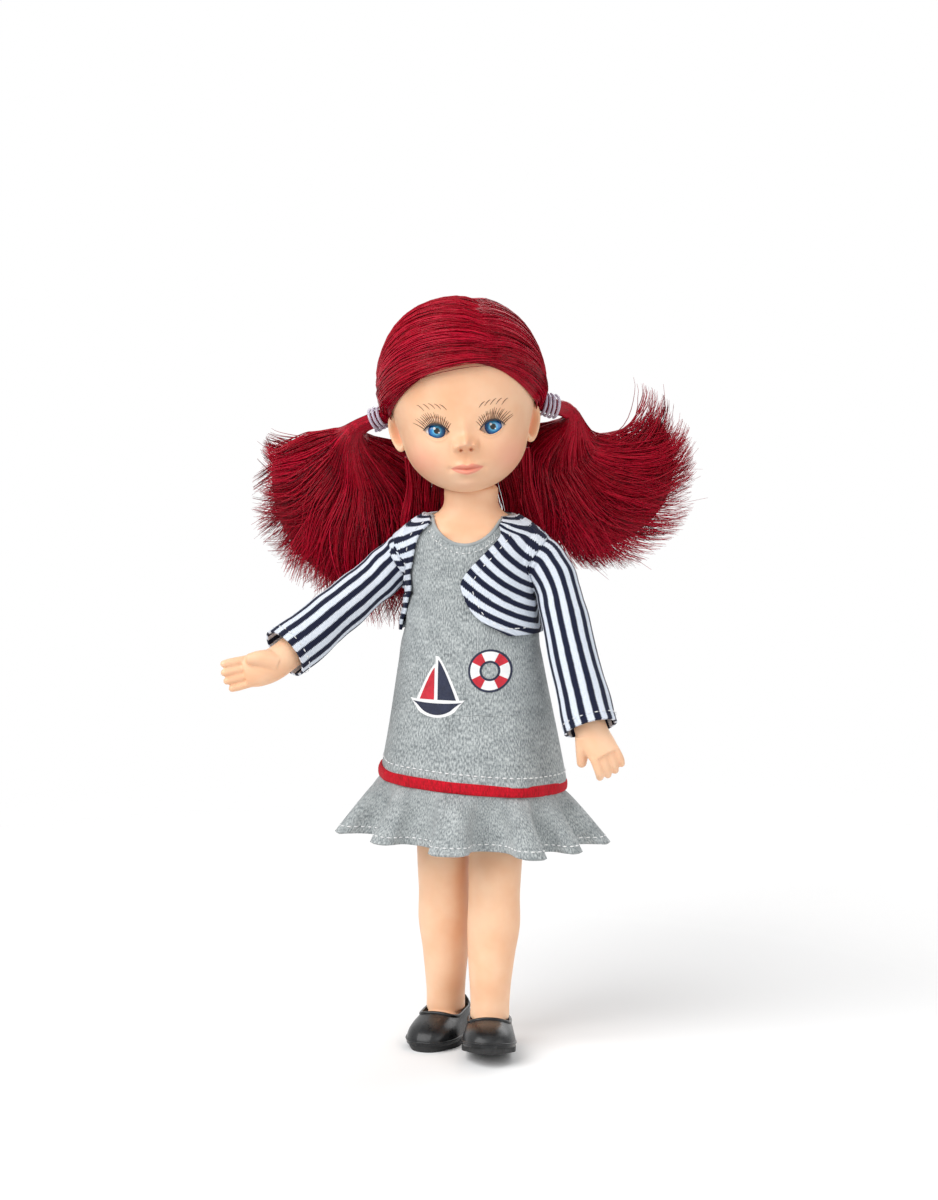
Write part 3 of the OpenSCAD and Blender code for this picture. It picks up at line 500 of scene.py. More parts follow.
class Shader:
    """A material's nodes, strung together."""

    def __init__(self, name: str) -> None:
        """Starts a material with one principled shader."""
        self.material = bpy.data.materials.new(name)
        self.material.use_nodes = True
        self.tree = self.material.node_tree
        self.bsdf = self.tree.nodes["Principled BSDF"]

    def node(self, kind: str, *links: tuple, **settings: object) -> bpy.types.Node:
        """Adds a node.

        Args:
            kind: Type of the node.
            links: Pairs of an input and a socket or value for it.
            settings: Properties of the node.

        Returns:
            The node.
        """
        node = self.tree.nodes.new(kind)
        for key, value in settings.items():
            setattr(node, key, value)
        for socket, value in links:
            self.feed(node.inputs[socket], value)
        return node

    def feed(self, socket: Socket, value: object) -> None:
        """Links a socket or sets its value."""
        if isinstance(value, Socket):
            self.tree.links.new(value, socket)
        else:
            socket.default_value = value

    def set(self, **values: object) -> None:
        """Feeds the principled shader; underscores stand for spaces."""
        for key, value in values.items():
            self.feed(self.bsdf.inputs[key.replace("_", " ")], value)

    def place(self) -> Socket:
        """Gives the place in the object, in metres."""
        return self.node("ShaderNodeTexCoord").outputs["Object"]

    def uv(self) -> Socket:
        """Gives the place in the piece's own map."""
        return self.node("ShaderNodeTexCoord").outputs["UV"]

    def mark(self, name: str) -> Socket:
        """Gives a value that is kept on the mesh."""
        return self.node("ShaderNodeAttribute", attribute_name=name).outputs["Fac"]

    def axes(self, vector: Socket) -> bpy.types.NodeOutputs:
        """Gives the parts of a place."""
        return self.node("ShaderNodeSeparateXYZ", ("Vector", vector)).outputs

    def scaled(self, vector: Socket, *scale: float) -> Socket:
        """Stretches a pattern."""
        return self.node("ShaderNodeMapping", ("Vector", vector), ("Scale", scale)).outputs[0]

    def noise(self, vector: Socket, scale: float, detail: float) -> Socket:
        """Gives a cloudy value."""
        node = self.node("ShaderNodeTexNoise", ("Vector", vector), ("Scale", scale), ("Detail", detail))
        return node.outputs["Fac"]

    def math(self, operation: str, a: object, b: object = 0.0) -> Socket:
        """Works out one sum."""
        return self.node("ShaderNodeMath", (0, a), (1, b), operation=operation).outputs[0]

    def times(self, a: object, b: object) -> Socket:
        """Multiplies two values."""
        return self.math("MULTIPLY", a, b)

    def plus(self, a: object, b: object) -> Socket:
        """Adds two values."""
        return self.math("ADD", a, b)

    def ramp(self, value: Socket, *stops: tuple) -> Socket:
        """Maps a value to colours at stops."""
        node = self.node("ShaderNodeValToRGB", ("Fac", value))
        band = node.color_ramp
        while len(band.elements) < len(stops):
            band.elements.new(0.5)
        for element, (place, colour) in zip(band.elements, stops):
            element.position = place
            element.color = linear(colour) if isinstance(colour, str) else (colour, colour, colour, 1.0)
        return node.outputs["Color"]

    def blend(self, share: object, a: object, b: object) -> Socket:
        """Mixes two colours."""
        node = self.node("ShaderNodeMix", data_type="RGBA")
        for socket, value in ((0, share), (6, a), (7, b)):
            self.feed(node.inputs[socket], linear(value) if isinstance(value, str) else value)
        return node.outputs[2]

    def bump(self, height: Socket, depth: float, strength: float) -> None:
        """Raises the surface.

        Args:
            height: Value between 0 and 1.
            depth: Depth in millimetres.
            strength: Share of the effect.
        """
        amounts = ("Distance", depth * MM), ("Strength", strength)
        self.set(Normal=self.node("ShaderNodeBump", ("Height", height), *amounts).outputs[0])


@dataclass(frozen=True)
class Vinyl:
    """Moulded skin-coloured vinyl with painted lips and cheeks, and painted shade in the mouth line, the
    nostrils and the ears' bowls.
    """

    name: str = "skin_vinyl"
    tone: str = "#F4C8A4"
    warm: str = "#EDB78F"
    # Blush on the cheeks, nose and chin; in the ears' bowls it is also painted shade.
    blush: str = "#F2A98C"
    lips: str = "#E8937C"
    # Painted shade colour for the line between the lips and the nostrils.
    deep: str = "#C9705C"

    def build(self) -> Paint:
        """Makes the material."""
        s = Shader(self.name)
        place = s.place()
        cloud = s.noise(place, 90, 3)
        base = s.ramp(cloud, (0.3, self.warm), (0.62, self.tone))
        # Blush, and painted shade in the ears' bowls.
        base = s.blend(s.times(s.mark("blush"), 0.75), base, self.blush)
        base = s.blend(s.mark("lips"), base, self.lips)
        # Painted shade: darkens the line between the lips and the nostrils.
        base = s.blend(s.mark("crease"), base, self.deep)
        grain = s.noise(place, 3200, 2)
        s.set(Base_Color=base, Roughness=s.ramp(s.noise(place, 240, 3), (0.35, 0.40), (0.7, 0.50)))
        s.set(Subsurface_Weight=0.12, Subsurface_Radius=(1.0, 0.45, 0.25), Subsurface_Scale=0.002)
        s.set(Specular_IOR_Level=0.42, Coat_Weight=0.06, Coat_Roughness=0.35)
        s.bump(grain, 0.02, 0.35)
        return s.material


@dataclass(frozen=True)
class Fibre:
    """Shiny rooted hair."""

    name: str = "hair_fibre"
    dark: str = "#520010"
    middle: str = "#A1001C"
    light: str = "#CC1237"

    def build(self) -> Paint:
        """Makes the material of the single strands."""
        s = Shader(self.name)
        streak = s.noise(s.place(), 420, 2)
        value = s.plus(s.times(s.mark("tint"), 0.75), s.times(streak, 0.3))
        s.set(Base_Color=s.ramp(value, (0.12, self.dark), (0.45, self.middle), (0.95, self.light)))
        s.set(Roughness=s.ramp(streak, (0.3, 0.24), (0.7, 0.36)), Specular_IOR_Level=0.2)
        return s.material

    def build_mass(self) -> Paint:
        """Makes the material of the mass under the strands, with streaks along the piece's own map; it keeps to
        the dark half of the hair's colours as painted shade deep in the hair.
        """
        s = Shader(self.name + "_mass")
        streak = s.noise(s.scaled(s.uv(), 150, 5, 1), 1.0, 4)
        # Painted shade: the mass runs from the dark to the middle colour, darker than the strands over it.
        s.set(Base_Color=s.ramp(streak, (0.25, self.dark), (0.75, self.middle)))
        s.set(Roughness=s.ramp(streak, (0.3, 0.36), (0.7, 0.52)), Specular_IOR_Level=0.2)
        s.bump(streak, 0.35, 0.8)
        return s.material


@dataclass(frozen=True)
class Jersey:
    """Fine single jersey, with its map in millimetres."""

    name: str
    light: str
    middle: str
    dark: str
    wale: float = 0.62
    fuzz: float = 0.35

    def build(self) -> Paint:
        """Makes the material."""
        s = Shader(self.name)
        uv = s.uv()
        axes = s.axes(uv)
        place = s.place()
        fleck = s.noise(s.scaled(uv, 3.0, 1.0, 1), 1.0, 3)
        cloud = s.noise(place, 220, 2)
        value = s.plus(s.times(fleck, 0.8), s.times(cloud, 0.2))
        s.set(Base_Color=s.ramp(value, (0.34, self.dark), (0.5, self.middle), (0.62, self.light)))
        wale = s.math("ABSOLUTE", s.math("SINE", s.times(axes[0], math.pi / self.wale)))
        zig = s.times(wale, 0.6)
        course = s.math("SINE", s.plus(s.times(axes[1], 2 * math.pi / (0.8 * self.wale)), zig))
        knit = s.plus(s.times(wale, 0.6), s.times(course, 0.18))
        knit = s.plus(knit, s.times(s.noise(place, 2600, 2), 0.35))
        s.set(Roughness=s.ramp(fleck, (0.3, 0.82), (0.7, 0.94)), Specular_IOR_Level=0.25)
        s.set(Sheen_Weight=self.fuzz, Sheen_Roughness=0.5)
        s.bump(knit, 0.16, 0.6)
        return s.material


@dataclass(frozen=True)
class StripedJersey:
    """Striped single jersey: the map's first axis runs across the stripes, in millimetres."""

    name: str = "striped_jersey"
    navy: str = "#141B38"
    white: str = "#E6ECF5"
    period: float = 3.2
    wale: float = 0.5

    def build(self) -> Paint:
        """Makes the material."""
        s = Shader(self.name)
        uv = s.uv()
        axes = s.axes(uv)
        place = s.place()
        jag = s.times(s.math("SINE", s.times(axes[1], 2 * math.pi / self.wale)), 0.12)
        wander = s.times(s.noise(s.scaled(uv, 0.2, 0.6, 1), 1.0, 2), 0.25)
        across = s.plus(s.plus(axes[0], jag), wander)
        wave = s.math("SINE", s.times(across, 2 * math.pi / self.period))
        fleck = s.noise(s.scaled(uv, 2.4, 2.4, 1), 1.0, 3)
        navy = s.ramp(fleck, (0.3, "#0B1024"), (0.7, self.navy))
        white = s.ramp(fleck, (0.25, "#C6D0DF"), (0.65, self.white))
        stripe = s.ramp(s.plus(s.times(wave, 0.5), 0.5), (0.44, 0.0), (0.56, 1.0))
        s.set(Base_Color=s.blend(stripe, navy, white))
        wale = s.math("ABSOLUTE", s.math("SINE", s.times(axes[1], math.pi / self.wale)))
        course = s.math("SINE", s.times(axes[0], 2 * math.pi / (0.8 * self.wale)))
        knit = s.plus(s.times(wale, 0.6), s.times(course, 0.15))
        knit = s.plus(knit, s.times(s.noise(place, 2600, 2), 0.3))
        s.set(Roughness=s.ramp(fleck, (0.3, 0.8), (0.7, 0.92)), Specular_IOR_Level=0.25)
        s.set(Sheen_Weight=0.05, Sheen_Roughness=0.5)
        s.bump(knit, 0.14, 0.6)
        return s.material


@dataclass(frozen=True)
class Plain:
    """A finish of one colour family with a fine grain."""

    name: str
    light: str
    dark: str
    rough: tuple = (0.4, 0.55)
    grain: float = 900.0
    depth: float = 0.05
    coat: float = 0.0
    sheen: float = 0.0
    clear: float = 0.0
    specular: float = 0.5

    def build(self) -> Paint:
        """Makes the material."""
        s = Shader(self.name)
        place = s.place()
        cloud = s.noise(place, self.grain * 0.2, 3)
        grain = s.noise(place, self.grain, 3)
        s.set(Base_Color=s.ramp(cloud, (0.3, self.dark), (0.7, self.light)))
        s.set(Roughness=s.ramp(grain, *zip((0.3, 0.7), self.rough)), Specular_IOR_Level=self.specular)
        s.set(Coat_Weight=self.coat, Coat_Roughness=0.2)
        s.set(Sheen_Weight=self.sheen, Transmission_Weight=self.clear)
        s.bump(grain, self.depth, 0.5)
        return s.material


@dataclass(frozen=True)
class EyePaint:
    """A glossy eye with two painted highlights; its map is in millimetres from the middle of the pupil."""

    name: str = "eye_gloss"
    iris: float = 2.4
    pupil: float = 0.85

    def build(self) -> Paint:
        """Makes the material."""
        s = Shader(self.name)
        uv = s.uv()
        away = s.node("ShaderNodeVectorMath", (0, uv), operation="LENGTH").outputs["Value"]
        axes = s.axes(uv)
        round_it = s.math("ARCTAN2", axes[1], axes[0])
        spokes = s.node("ShaderNodeCombineXYZ", ("X", s.times(round_it, 7.0)),
                        ("Y", s.times(away, 0.5)))
        streak = s.noise(spokes.outputs[0], 1.0, 3)
        share = s.math("DIVIDE", away, self.iris)
        colour = s.ramp(share, (0.0, "#1572B8"), (0.42, "#62C6F0"), (0.6, "#1A86CA"), (0.86, "#0A539A"),
                        (0.98, "#061C40"))
        colour = s.blend(s.ramp(streak, (0.35, 0.0), (0.75, 0.45)), colour, "#0D4C9C")
        colour = s.blend(s.ramp(share, (0.985, 0.0), (1.03, 1.0)), colour, "#F2F3F5")
        dark = s.ramp(s.math("DIVIDE", away, self.pupil), (0.92, 1.0), (1.05, 0.0))
        colour = s.blend(dark, colour, "#05070C")
        # Painted highlights: two white glints at the pupil's edge.
        for x, z, r in ((-0.62, 0.72, 0.36), (0.55, -0.55, 0.2)):
            painted_glint = s.node("ShaderNodeVectorMath", (0, uv), (1, (x, z, 0)), operation="DISTANCE")
            near = s.math("DIVIDE", painted_glint.outputs["Value"], r)
            colour = s.blend(s.ramp(near, (0.85, 1.0), (1.0, 0.0)), colour, "#FFFFFF")
        s.set(Base_Color=colour, Roughness=0.15, Specular_IOR_Level=0.4, Coat_Weight=0.5, Coat_Roughness=0.03)
        return s.material


class Finishes:
    """All the materials of the doll, made once."""

    def __init__(self) -> None:
        """Builds each finish."""
        self.skin = Vinyl().build()
        self.hair = Fibre().build()
        self.hair_mass = Fibre().build_mass()
        self.grey = Jersey("grey_jersey", "#C0C5C5", "#9CA2A3", "#6E7476", fuzz=0.2).build()
        self.red = Jersey("red_jersey", "#CF1028", "#BA0B20", "#8C0716", wale=0.5, fuzz=0.04).build()
        self.cotton = Jersey("white_cotton", "#F4F4F2", "#EDEDEA", "#DADAD6", wale=0.5).build()
        self.striped = StripedJersey().build()
        self.thread = Plain("white_thread", "#F6F6F4", "#D9DADC", (0.6, 0.8), 4000, 0.05, sheen=0.3).build()
        self.shoe = Plain("shoe_black", "#1E1F21", "#131415", (0.26, 0.4), 1500, 0.03,
                          coat=0.12, specular=0.3).build()
        self.sole = Plain("sole_black", "#1A1A1B", "#101011", (0.5, 0.7), 1200, 0.08).build()
        self.elastic = Plain("clear_elastic", "#E6DFEC", "#BFB4CC", (0.12, 0.25), 900, 0.05,
                             coat=0.4, clear=0.35).build()
        self.plug = Plain("white_plastic", "#EFEFEC", "#DCDCD8", (0.35, 0.5), 800, 0.04).build()
        self.tape = Plain("closure_tape", "#EDEDED", "#C9CACC", (0.75, 0.95), 3500, 0.25, sheen=0.3).build()
        self.eye = EyePaint().build()
        self.lash = Plain("lash_paint", "#74482A", "#442816", (0.45, 0.6), 2000, 0.01).build()
        self.lid = Plain("lid_line", "#23202C", "#15131C", (0.4, 0.55), 2000, 0.01).build()
        ink = {"rough": (0.6, 0.8), "grain": 2500, "depth": 0.05}
        self.print_white = Plain("print_white", "#F3F3F2", "#E2E3E4", **ink).build()
        self.print_navy = Plain("print_navy", "#20263F", "#151A30", **ink).build()
        self.print_red = Plain("print_red", "#CE2436", "#B01829", **ink).build()


class WireTree:
    """Geometry nodes that make something along each line of a wire mesh."""

    def __init__(self, name: str, **inputs: str) -> None:
        """Starts the tree with its inputs and their types."""
        self.tree = bpy.data.node_groups.new(name, "GeometryNodeTree")
        face = self.tree.interface
        face.new_socket("Geometry", in_out="INPUT", socket_type="NodeSocketGeometry")
        self.inputs = {}
        for key, kind in inputs.items():
            socket = face.new_socket(key, in_out="INPUT", socket_type=f"NodeSocket{kind}")
            self.inputs[key] = socket.identifier
        face.new_socket("Geometry", in_out="OUTPUT", socket_type="NodeSocketGeometry")
        self.start, self.end = self.add("NodeGroupInput"), self.add("NodeGroupOutput")

    def add(self, kind: str) -> bpy.types.Node:
        """Adds a node."""
        return self.tree.nodes.new(kind)

    def link(self, source: bpy.types.Node, out: str, target: bpy.types.Node, into: str = "Geometry") -> None:
        """Links an output of a node to an input of another."""
        self.tree.links.new(source.outputs[out], target.inputs[into])

    def finish(self, source: bpy.types.Node, out: str) -> None:
        """Smooths the shading of what a node makes, gives it the finish and ends the tree there."""
        soft, paint = self.add("GeometryNodeSetShadeSmooth"), self.add("GeometryNodeSetMaterial")
        self.link(source, out, soft)
        self.link(soft, "Geometry", paint)
        self.link(self.start, "Finish", paint, "Material")
        self.link(paint, "Geometry", self.end)

    def grow(self, name: str, mesh: bpy.types.Mesh, **values: object) -> Thing:
        """Runs the tree on a wire mesh.

        Args:
            name: Name of the piece.
            mesh: The mesh.
            values: What goes into the tree's inputs.

        Returns:
            The finished piece.
        """
        obj = show(name, mesh)
        nodes = obj.modifiers.new(self.tree.name, "NODES")
        nodes.node_group = self.tree
        for key, value in values.items():
            nodes[self.inputs[key]] = value
        settle(obj)
        return obj


class TubeTree(WireTree):
    """Geometry nodes that run a round tube along each line of a wire mesh."""

    def __init__(self) -> None:
        """Builds the node tree."""
        super().__init__("tubes", Sides="Int", Radius="Float", Finish="Material")
        wire, tube = self.add("GeometryNodeMeshToCurve"), self.add("GeometryNodeCurveToMesh")
        ring = self.add("GeometryNodeCurvePrimitiveCircle")
        thick = self.add("GeometryNodeInputNamedAttribute")
        thick.data_type = "FLOAT"
        thick.inputs["Name"].default_value = "thick"
        tube.inputs["Fill Caps"].default_value = True
        self.link(self.start, "Geometry", wire, "Mesh")
        self.link(self.start, "Sides", ring, "Resolution")
        self.link(self.start, "Radius", ring, "Radius")
        self.link(wire, "Curve", tube, "Curve")
        self.link(ring, "Curve", tube, "Profile Curve")
        self.link(thick, "Attribute", tube, "Scale")
        self.finish(tube, "Mesh")

    def run(self, name: str, lines: Array, radius: float, finish: Paint, sides: int,
            thick: Optional[Array] = None, tint: Optional[Array] = None,
            closed: bool = False) -> Thing:
        """Makes tubes along lines.

        Args:
            name: Name of the piece.
            lines: Points in millimetres, one row of points for each line.
            radius: Radius of the tubes in millimetres.
            finish: The material.
            sides: Sides of a tube.
            thick: Share of the radius at each point.
            tint: A value from 0 to 1 for each line.
            closed: Whether each line is a ring.

        Returns:
            The finished piece.
        """
        count, length = lines.shape[:2]
        index = np.arange(count * length).reshape(count, length)
        edges = np.stack([index[:, :-1].ravel(), index[:, 1:].ravel()], axis=1)
        if closed:
            edges = np.concatenate([edges, np.stack([index[:, -1], index[:, 0]], axis=1)])
        mesh = bpy.data.meshes.new(name)
        mesh.from_pydata((lines.reshape(-1, 3) * MM).tolist(), edges.tolist(), [])
        shares = np.ones((count, length)) if thick is None else np.broadcast_to(thick, (count, length))
        tints = np.full((count, 1), 0.5) if tint is None else np.asarray(tint).reshape(-1, 1)
        for key, value in (("thick", shares), ("tint", np.broadcast_to(tints, (count, length)))):
            mark = mesh.attributes.new(key, "FLOAT", "POINT")
            mark.data.foreach_set("value", value.astype(np.float32).ravel())
        return self.grow(name, mesh, Sides=sides, Radius=radius * MM, Finish=finish)


class StitchTree(WireTree):
    """Geometry nodes that set a row of stitches along each line of a wire mesh."""

    def __init__(self) -> None:
        """Builds the node tree."""
        super().__init__("stitches", Pitch="Float", Size="Vector", Finish="Material")
        wire, spots = self.add("GeometryNodeMeshToCurve"), self.add("GeometryNodeCurveToPoints")
        bead, aim = self.add("GeometryNodeMeshIcoSphere"), self.add("FunctionNodeAlignRotationToVector")
        copies, real = self.add("GeometryNodeInstanceOnPoints"), self.add("GeometryNodeRealizeInstances")
        spots.mode = "LENGTH"
        aim.axis = "X"
        bead.inputs["Subdivisions"].default_value = 1
        self.link(self.start, "Geometry", wire, "Mesh")
        self.link(wire, "Curve", spots, "Curve")
        self.link(self.start, "Pitch", spots, "Length")
        self.link(spots, "Points", copies, "Points")
        self.link(spots, "Tangent", aim, "Vector")
        self.link(aim, "Rotation", copies, "Rotation")
        self.link(bead, "Mesh", copies, "Instance")
        self.link(self.start, "Size", copies, "Scale")
        self.link(copies, "Instances", real)
        self.finish(real, "Geometry")

    def run(self, name: str, lines: Sequence[Array], finish: Paint, pitch: float = 1.9,
            size: tuple = (0.62, 0.2, 0.16)) -> Thing:
        """Sews along lines.

        Args:
            name: Name of the piece.
            lines: Lists of points in millimetres.
            finish: The thread's material.
            pitch: Distance from stitch to stitch in millimetres.
            size: Half length, half width and half height of a stitch in millimetres.

        Returns:
            The finished piece.
        """
        verts = np.concatenate(lines)
        edges, base = [], 0
        for line in lines:
            edges += [(base + i, base + i + 1) for i in range(len(line) - 1)]
            base += len(line)
        mesh = bpy.data.meshes.new(name)
        mesh.from_pydata((verts * MM).tolist(), edges, [])
        return self.grow(name, mesh, Pitch=pitch * MM, Size=tuple(v * MM for v in size), Finish=finish)


@dataclass
class Workshop:
    """What every sub-assembly is made with."""

    finishes: Finishes
    tubes: TubeTree
    stitches: StitchTree


@dataclass
class Head:
    """The moulded head with its inset eyes and painted lashes, in millimetres."""

    mid_z: float = 184.0
    half_width: float = 20.6
    front: float = 20.6
    back: float = 23.0
    chin_drop: float = 28.0
    crown_rise: float = 23.0
    squareness: float = 0.95
    nose_reach: float = 3.3
    eye_radius: float = 4.2
    eye_offset: float = 7.7
    eye_z: float = 174.0
    eye_front: float = 13.6
    lid_half: float = 3.45
    lid_up: float = 2.0
    lid_low: float = 1.95
    ear_height: float = 13.0
    ear_inset: float = 1.5
    seat_radius: float = 10.4
    crown_power: float = 2.2
    front_power: float = 4.5
    back_power: float = 1.65
    mouth_drop: float = 10.7
    lash_count: int = 18
    brow_count: int = 5
    paint_lift: float = 0.02
    face_rows: tuple = (191.5, 181.5, 160.0)

    @property
    def mouth_z(self) -> float:
        """Gives the height of the line of the mouth."""
        return self.eye_z - self.mouth_drop

    @property
    def chin_z(self) -> float:
        """Gives the height of the chin."""
        return self.mid_z - self.chin_drop

    @property
    def heart(self) -> Array:
        """Gives the point that hair lines are drawn round."""
        return np.array([0, 1, self.mid_z - 2])

    def share(self, z: Array, p: float) -> Array:
        """Gives the share of the head's full size at a height."""
        up = np.clip(z - self.mid_z, 0, None) / self.crown_rise
        low = np.clip(self.mid_z - z, 0, None) / self.chin_drop
        q = self.crown_power
        crown = np.clip(1 - up ** q, 0, None) ** (1 / q)
        return np.where(z > self.mid_z, crown, np.clip(1 - low ** p, 0, None) ** (1 / p))

    def wide(self, z: Array) -> Array:
        """Gives half the width of the head."""
        return self.half_width * self.share(z, self.crown_power)

    def deep(self, z: Array, is_front: Array) -> Array:
        """Gives the depth of the head before or behind its middle."""
        front, back = self.share(z, self.front_power), self.share(z, self.back_power)
        return np.where(is_front, self.front * front, self.back * back)

    def scalp(self, a: Array, z: Array) -> Array:
        """Gives points of the bare egg of the head at angles and heights."""
        x = self.wide(z) * power(np.cos(a), self.squareness)
        s = power(np.sin(a), self.squareness)
        return stack(x, self.deep(z, s < 0) * s, z)

    def lid_line(self, e: Array, upper: bool) -> Array:
        """Gives the height of a lid's edge at a distance outward from the middle of the eye."""
        u = np.clip(np.abs((e + 0.1) / self.lid_half), 0, 1)
        return (self.lid_up * (1 - u ** 2.3) if upper else -self.lid_low * (1 - u ** 2.0)) + 0.12 * e

    def lip_line(self, x: Array) -> Array:
        """Gives the height of the line between the lips."""
        return self.mouth_z - 0.12 * bell(x / 0.9) + 0.012 * x * x

    def bumps(self, x: Array, z: Array, *rows: tuple) -> Array:
        """Adds up soft bumps.

        Args:
            x: Distances across.
            z: Heights over the level that the bumps are set out from.
            rows: Each bump's height, its place and size across, and its place and size up.

        Returns:
            The height of all of them.
        """
        return sum(height * bell((x - across) / wide) * bell((z - up) / tall)
                   for height, across, wide, up, tall in rows)

    def relief(self, x: Array, z: Array) -> Array:
        """Gives how far the features stand out of the egg: nose, lips, chin, cheeks, sockets and lids."""
        ax = np.abs(x)
        e, d = ax - self.eye_offset, z - self.eye_z
        tip = np.where(d > -3.9, 2.0, 1.3)
        out = self.bumps(ax, d, (1.3 * self.nose_reach, 0, 2.0, -3.9, tip), (2.1, 2.6, 0.95, -4.55, 1.1),
                         (-1.5, 1.4, 0.5, -5.4, 0.42), (-0.35, 3.9, 0.5, -4.5, 1.3), (0.8, 0, 1.7, 0, 3.4))
        out = out + self.bumps(ax, z - self.lip_line(x), (0.85, 0.9, 2.3, 0.95, 0.85),
                               (1.1, 0, 2.5, -1.1, 0.85), (-0.55, 0, 3.6, 0, 0.26))
        out = out + self.bumps(ax, z - self.mouth_z, (0.7, 0, 5.2, 0, 3.0), (-0.35, 0, 0.55, 3.1, 1.1),
                               (-0.35, 4.7, 0.8, 0, 0.9), (-0.3, 0, 3, -3.1, 0.8))
        out = out + self.bumps(ax, z - self.chin_z, (0.9, 0, 4, 2.6, 2.2), (0.9, 10.5, 5, 9.5, 5))
        out = out + self.bumps(e, d, (-0.9, 0, 4.4, 0, 3.2))
        lids = ((0.42, True, 0.55, 0.6, 4.2), (-0.28, True, 1.75, 0.35, 4.0), (0.26, False, -0.45, 0.5, 3.8))
        for height, is_upper, up, tall, reach in lids:
            roll = height * bell((d - self.lid_line(e, is_upper) - up) / tall)
            out = out + roll * smooth((reach - np.abs(e)) / 1.6)
        return out

    def face_y(self, x: Array, z: Array) -> Array:
        """Gives the front of the face at places across and up it."""
        c = np.clip(np.abs(x) / self.wide(z), 0, 1) ** (1 / self.squareness)
        s = np.sqrt(np.clip(1 - c * c, 0, None))
        egg = -self.front * self.share(z, self.front_power) * s ** self.squareness
        return egg - self.relief(x, z) * smooth(1.6 * s)

    def reach(self, directions: Array) -> Array:
        """Gives the distance from the heart to the scalp along directions."""
        top = self.mid_z + self.crown_rise
        tiny = 1e-6

        def is_inside(t: Array) -> Array:
            """Tells which distances end inside the egg."""
            p = self.heart + directions * t[..., None]
            z = np.clip(p[..., 2], self.chin_z + tiny, top - tiny)
            across = np.abs(p[..., 0]) / (self.wide(z) + tiny)
            along = np.abs(p[..., 1]) / (self.deep(z, p[..., 1] < 0) + tiny)
            round_it = across ** (2 / self.squareness) + along ** (2 / self.squareness) < 1
            return round_it & (p[..., 2] > self.chin_z) & (p[..., 2] < top)

        shape = directions.shape[:-1]
        return halve(np.full(shape, 4.0), np.full(shape, 40.0), is_inside, 34)

    def build(self, shop: Workshop) -> None:
        """Makes the head, the eyes and the painted lines."""
        rows = np.concatenate([
            self.mid_z + self.crown_rise * np.cos(np.linspace(0.06, 1.22, 26)),
            np.linspace(*self.face_rows[:2], 22)[1:], np.linspace(*self.face_rows[1:], 125)[1:],
            self.chin_z + 4.0 * np.cos(np.linspace(0, 1.5, 22))[1:]])
        u = around(380)
        a = u - math.radians(38) * np.cos(u)
        aa, zz = np.meshgrid(a, rows)
        p = self.scalp(aa, zz)
        x, z = p[..., 0].copy(), p[..., 2]
        p[..., 1] -= self.relief(x, z) * smooth(-1.6 * np.sin(aa))
        temple = 1.2 * bell((z - self.eye_z + 1.0) / 7.0)
        p[..., 0] -= np.sign(x) * temple * smooth((np.abs(x) - 12.5) / 6.0)
        front = np.sin(aa) < -0.3
        for side in Side:
            e = side.value * x - self.eye_offset
            d = z - self.eye_z
            inside = front & (np.abs(e + 0.1) < self.lid_half)
            inside &= (d < self.lid_line(e, True)) & (d > self.lid_line(e, False))
            ball = -self.eye_front - np.sqrt(np.clip(self.eye_radius ** 2 - e ** 2 - d ** 2, 0, None)) + 0.7
            p[..., 1] = np.where(inside, ball, p[..., 1])
        neck = np.array([0, 0, STANCE.neck_z])
        away = np.linalg.norm(p - neck, axis=-1, keepdims=True)
        p = np.where(away < self.seat_radius, neck + (p - neck) * self.seat_radius / away, p)
        marks = self.paint_marks(x, z, front)
        skins = [Surface(STANCE.place_head(p), wrap=True, caps=(True, True), marks=marks)]
        skins += [self.ear(side) for side in Side]
        head = mesh_piece("moulded_head", skins, [shop.finishes.skin])
        ride(head, "head", "skin_vinyl", "head")
        for side in Side:
            ride(self.eye(side, shop), "head", "eye_gloss", f"{side.word}_eye")
        self.paint_lines(shop)

    def paint_marks(self, x: Array, z: Array, front: Array) -> dict:
        """Gives how strongly each place of the head is painted.

        Args:
            x: Places across.
            z: Heights.
            front: Which places are on the face.

        Returns:
            The strength of the lips' colour, of the painted shade in the creases and of the rosy paint on the
            cheeks, the nose and the chin.
        """
        ax, d = np.abs(x), z - self.eye_z
        line = self.lip_line(x)
        half = np.clip(1 - (ax / 4.8) ** 2.2, 0, None)
        upper = 1.5 * half * (1 - 0.16 * bell(x / 0.7) + 0.1 * bell((ax - 1.3) / 0.8))
        lower = 1.7 * half
        lips = smooth((line + upper - z) / 0.35) * smooth((z - line + lower) / 0.45) * (half > 0) * front
        # Painted shade in the line between the lips and in the nostrils, where the face is hollow.
        crease = 0.55 * bell((z - line) / 0.17) * smooth((4.5 - ax) / 0.8)
        crease = crease + self.bumps(ax, d, (0.3, 1.35, 0.4, -5.45, 0.34))
        blush = self.bumps(ax, d, (1, 12.5, 5.2, -8.2, 5.0), (0.35, 0, 2.5, -4.2, 1.8))
        blush = blush + self.bumps(ax, z - self.chin_z, (0.3, 0, 4, 2.5, 2.0))
        return {"lips": lips, "crease": crease * front, "blush": blush * front}

